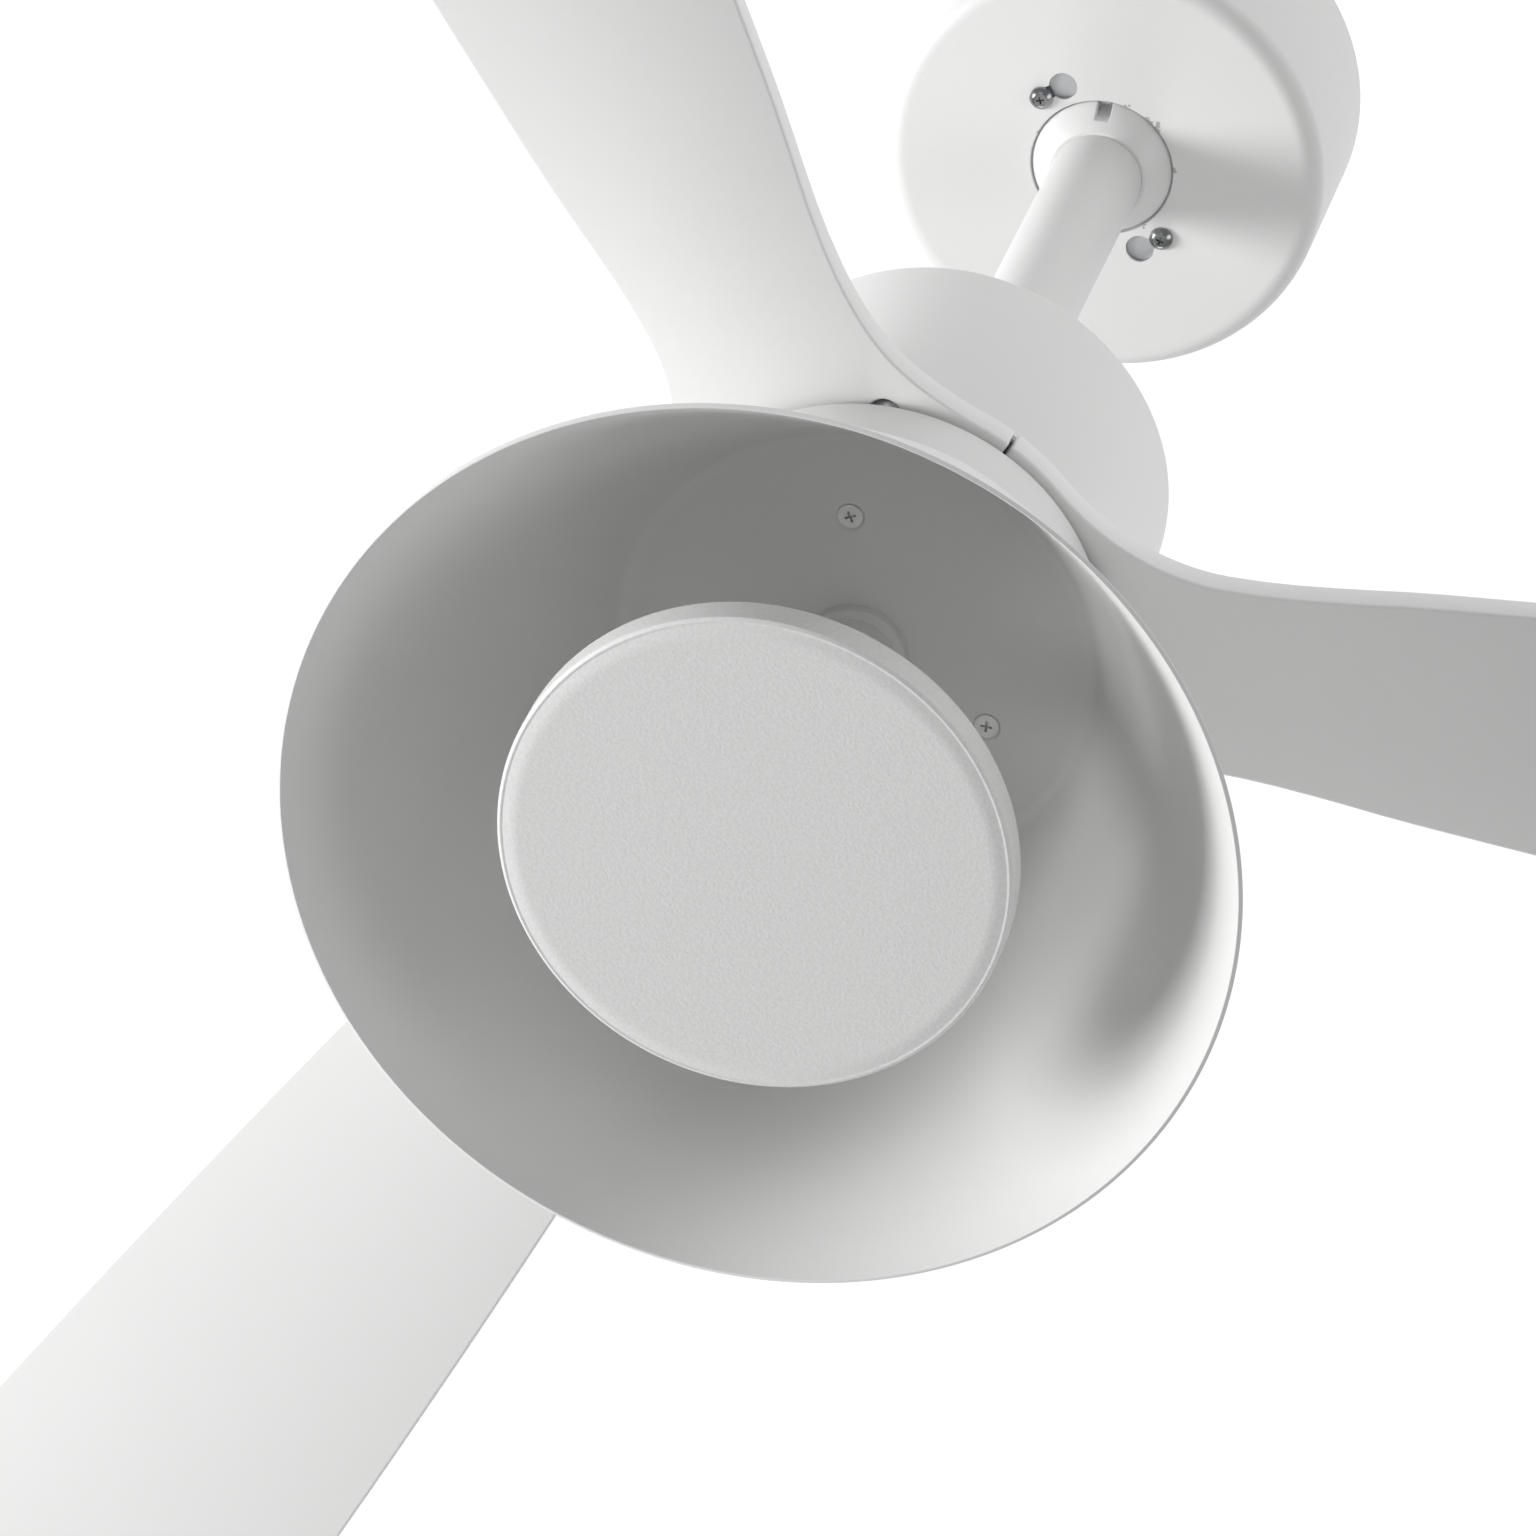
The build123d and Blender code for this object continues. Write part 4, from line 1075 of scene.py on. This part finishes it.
class FAN_OT_light_disc(bpy.types.Operator):
    """Spins the disc's cup and the diffuser ring that closes it"""

    bl_idname = "fan.light_disc"
    bl_label = "Light disc"

    def execute(self, context):
        size = sizes()
        inside = DISC.radius - size.disc_wall
        deck = DISC.low + size.disc_wall + 1.2 * MM
        roll = (DISC.radius - 5.2 * MM, DISC.low, 14 * MM)
        groove = (DISC.radius - 1.8 * MM, DISC.low + 0.8 * MM, 0.3 * MM)
        lip = (DISC.radius - 1.0 * MM, DISC.low + 0.65 * MM, 0.5 * MM)
        cup = lathe("light_cup", [
            (0.0, DISC.low), roll, groove, lip,
            (DISC.radius, DISC.low + 1.5 * MM, 0.7 * MM), (DISC.radius, DISC.high, 0.5 * MM),
            (inside, DISC.high, 0.5 * MM), (inside, deck, size.disc_edge), (0.0, deck)], 192, 10)
        done(cup, "hanger", "disc", "disc_cup")
        low, high = DIFFUSER.low, DIFFUSER.high
        crown = []
        count = 40
        inner, outer = size.stem_radius, DIFFUSER.radius
        for k in range(count + 1):
            x = outer + (inner - outer) * (0.03 + 0.94 * k / count)
            crown.append((x, high - (0.35 * MM if k % 2 else 0.0)))
        ring = lathe("diffuser_ring", [(inner, low), (outer, low, 0.3 * MM),
                                       (outer, high, 0.4 * MM), *crown, (inner, high, 0.4 * MM)],
                     160, 2)
        done(ring, "hanger", "opal", "light_diffuser", smooth=50)
        return {"FINISHED"}


# ------------------------------------------------------------------ screws
class FAN_OT_screws(bpy.types.Operator):
    """Models each kind of screw once and copies it to its places"""

    bl_idname = "fan.screws"
    bl_label = "Screws"

    def execute(self, context):
        size = sizes()
        low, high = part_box("canopy_screws")
        pan = pan_screw(3.9 * MM, 2 * MM, high.z - CANOPY.low, CANOPY.low - low.z, 3.8 * MM)
        pair = []
        for x, turned in ((-size.keyhole_at, 0.5), (size.keyhole_at, 1.1)):
            place = Matrix.Translation((x, 0, CANOPY.low))
            pair.append(copy_of(pan, place @ Matrix.Rotation(turned, 4, "Z")))
        bpy.data.objects.remove(pan)
        done(joined(pair, "mount_screws"), "ceiling_mount", "screw", "canopy_screws")

        low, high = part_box("blade_screws")
        sink = BLADE_TOP - size.blade_thick + SINK_DEPTH
        pan = pan_screw(4.3 * MM, 2 * MM, high.z - sink, sink - low.z, 4.2 * MM)
        several = []
        for k, middle in enumerate(BLADES):
            for j, (off, reach) in enumerate(BLADE_SCREWS):
                az = radians(middle + off)
                place = Matrix.Translation((*polar(reach * MM, az), sink))
                several.append(copy_of(pan, place @ Matrix.Rotation(0.7 * (3 * k + j), 4, "Z")))
        bpy.data.objects.remove(pan)
        done(joined(several, "blade_fixings"), "rotor", "steel", "blade_screws")

        face = SHADE.high - size.shade_sheet + 0.3 * MM
        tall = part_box("shade_screws")[1].z - face
        flat = lathe("flat", [(0.0, 0.0), (4.2 * MM, 0.0, 0.25 * MM), (2.5 * MM, 2.0 * MM),
                              (2.5 * MM, tall - 0.4 * MM), (2 * MM, tall), (0.0, tall)], 40, 3)
        cut(flat, [cross_recess(5.0 * MM, 1.8 * MM, 0.0)])
        several = []
        for k, az in enumerate(PLATE_SCREWS):
            place = Matrix.Translation((*polar(size.screw_ring, radians(az)), face))
            several.append(copy_of(flat, place @ Matrix.Rotation(0.35 + 0.5 * k, 4, "Z")))
        bpy.data.objects.remove(flat)
        done(joined(several, "plate_fixings"), "hanger", "pale_screw", "shade_screws")
        return {"FINISHED"}


# ------------------------------------------------------------------ inner parts
INNER = {
    "zinc": ("ball_pin", "coupling_pin", "housing_screws", "base_nut",
             "stem_nut", "disc_screws"),
    "dark": ("grub_screws",),
    "cream": ("led_driver",),
    "cast": ("rod_coupling", "upper_shield", "lower_shield"),
    "bearing": ("motor_shaft", "bearing_inner_rings", "bearing_outer_rings", "bearing_cages"),
    "laminations": ("stator_core",),
    "wire": ("stator_windings",),
    "steel": ("rotor_yoke",),
    "ferrite": ("magnets",),
    "board": ("led_board",),
    "phosphor": ("led_chips",),
}


class FAN_OT_inner_parts(bpy.types.Operator):
    """Gives the pieces inside the fan their finishes"""

    bl_idname = "fan.inner_parts"
    bl_label = "Inner parts"

    def execute(self, context):
        for name, nodes in INNER.items():
            for node in nodes:
                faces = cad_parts[node].data
                if not faces.materials:
                    faces.materials.append(finish(name))
                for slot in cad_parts[node].material_slots:
                    slot.material = finish(name)
        return {"FINISHED"}


# ------------------------------------------------------------------ stage
# Each lamp: name, direction in plan, angle below level, width in metres, power in watts.
LAMPS = (("key", 139.0, 15.0, 0.9, 31.0), ("low_key", 134.0, 27.0, 0.9, 39.0),
         ("side", 50.0, 15.0, 1.2, 13.0), ("back", 304.0, 15.0, 1.4, 10.0),
         ("under", 218.0, 40.0, 1.2, 3.0))
# The sky's strength by the height of its direction: grey up to the horizon, white high up.
SKY = ((0.03, 0.21), (0.13, 0.75), (0.27, 0.90), (0.42, 1.08))
LAMP_AIM = Vector((0.0, 0.0, -0.45))
LAMP_REACH = 2.6            # metres from the aim to each lamp
FLOOR_LEVEL = -3.25


class FAN_OT_stage(bpy.types.Operator):
    """Sets the floor, the soft light and the camera"""

    bl_idname = "fan.stage"
    bl_label = "Stage"

    def execute(self, context):
        deselect()
        bpy.ops.mesh.primitive_plane_add(size=80.0, location=(0, 0, FLOOR_LEVEL))
        floor = bpy.context.object
        floor.name = "floor"
        paint = Paint("pale_floor")
        grain = paint.noise(3.0, 4.0)
        paint.set(Base_Color=paint.mix(grain, (0.26, 0.26, 0.26), (0.29, 0.29, 0.29)),
                  Roughness=0.7 + grain * 0.1)
        floor.data.materials.append(paint.material)

        self.sky()
        for name, az, rise, wide, power in LAMPS:
            self.lamp(name, radians(az), radians(rise), wide, power)
        context.scene.view_settings.view_transform = "Standard"

        deselect()
        bpy.ops.object.camera_add(location=(-0.63804, -1.35899, -3.01208),
                                  rotation=[radians(a) for a in (151.8832, -13.5545, -48.5363)])
        camera = bpy.context.object
        camera.name = "camera"
        camera.data.lens = 234.375
        camera.data.sensor_width = 36.0
        camera.data.clip_end = 30.0
        bpy.context.scene.camera = camera
        return {"FINISHED"}

    def lamp(self, name, az, rise, wide, power):
        """A round soft lamp, below the blades and aimed up at the fan."""
        way = Vector((*polar(cos(rise), az), -sin(rise)))
        deselect()
        bpy.ops.object.light_add(type="AREA", location=LAMP_AIM + LAMP_REACH * way)
        lamp = bpy.context.object
        lamp.name = name
        lamp.data.shape = "DISK"
        lamp.data.size = wide
        lamp.data.energy = power
        lamp.rotation_euler = (-way).to_track_quat("-Z", "Y").to_euler()

    def sky(self):
        """White above, grey below, with a soft step at the horizon."""
        world = bpy.data.worlds.new("studio")
        bpy.context.scene.world = world
        world.use_nodes = True
        nodes, links = world.node_tree.nodes, world.node_tree.links
        place = nodes.new("ShaderNodeTexCoord")
        split = nodes.new("ShaderNodeSeparateXYZ")
        ramp = nodes.new("ShaderNodeFloatCurve")
        curve = ramp.mapping.curves[0]
        ramp.mapping.clip_max_y = 4.0
        ramp.mapping.extend = "HORIZONTAL"
        for point, (height, strength) in zip(curve.points, (SKY[0], SKY[-1])):
            point.location = (height, strength)
        for height, strength in SKY[1:-1]:
            curve.points.new(height, strength)
        for point in curve.points:
            point.handle_type = "VECTOR"
        ramp.mapping.update()
        links.new(place.outputs["Generated"], split.inputs[0])
        links.new(split.outputs["Z"], ramp.inputs["Value"])
        links.new(ramp.outputs[0], nodes["Background"].inputs["Strength"])
        nodes["Background"].inputs["Color"].default_value = (1.0, 1.0, 1.0, 1.0)


# ------------------------------------------------------------------ panel and registration
class FAN_PT_looks(bpy.types.Panel):
    """Lists the fan's settings and its steps"""

    bl_label = "Ceiling fan"
    bl_space_type = "VIEW_3D"
    bl_region_type = "UI"
    bl_category = "Fan"

    def draw(self, context):
        for label in GROUPS:
            group = getattr(context.scene, label)
            box = self.layout.box()
            for name in group.__annotations__:
                box.prop(group, name)
        for step in STEPS:
            self.layout.operator(step.bl_idname)


STEPS = (FAN_OT_canopy, FAN_OT_bracket, FAN_OT_hanger_ball, FAN_OT_rod, FAN_OT_motor_housing,
         FAN_OT_blades, FAN_OT_light_base, FAN_OT_shade, FAN_OT_light_stem, FAN_OT_light_disc,
         FAN_OT_screws, FAN_OT_inner_parts, FAN_OT_stage)
GROUPS = {"fan_sizes": FanSizes, "fan_colours": FanColours, "fan_texture": FanTexture}


def register():
    for kind in (*GROUPS.values(), *STEPS, FAN_PT_looks):
        bpy.utils.register_class(kind)
    for name, kind in GROUPS.items():
        setattr(bpy.types.Scene, name, PointerProperty(type=kind))


def unregister():
    for name in GROUPS:
        delattr(bpy.types.Scene, name)
    for kind in (FAN_PT_looks, *reversed(STEPS), *GROUPS.values()):
        bpy.utils.unregister_class(kind)


def main():
    register()
    for step in STEPS:
        getattr(bpy.ops.fan, step.bl_idname.split(".")[1])()


if __name__ == "__main__":
    main()
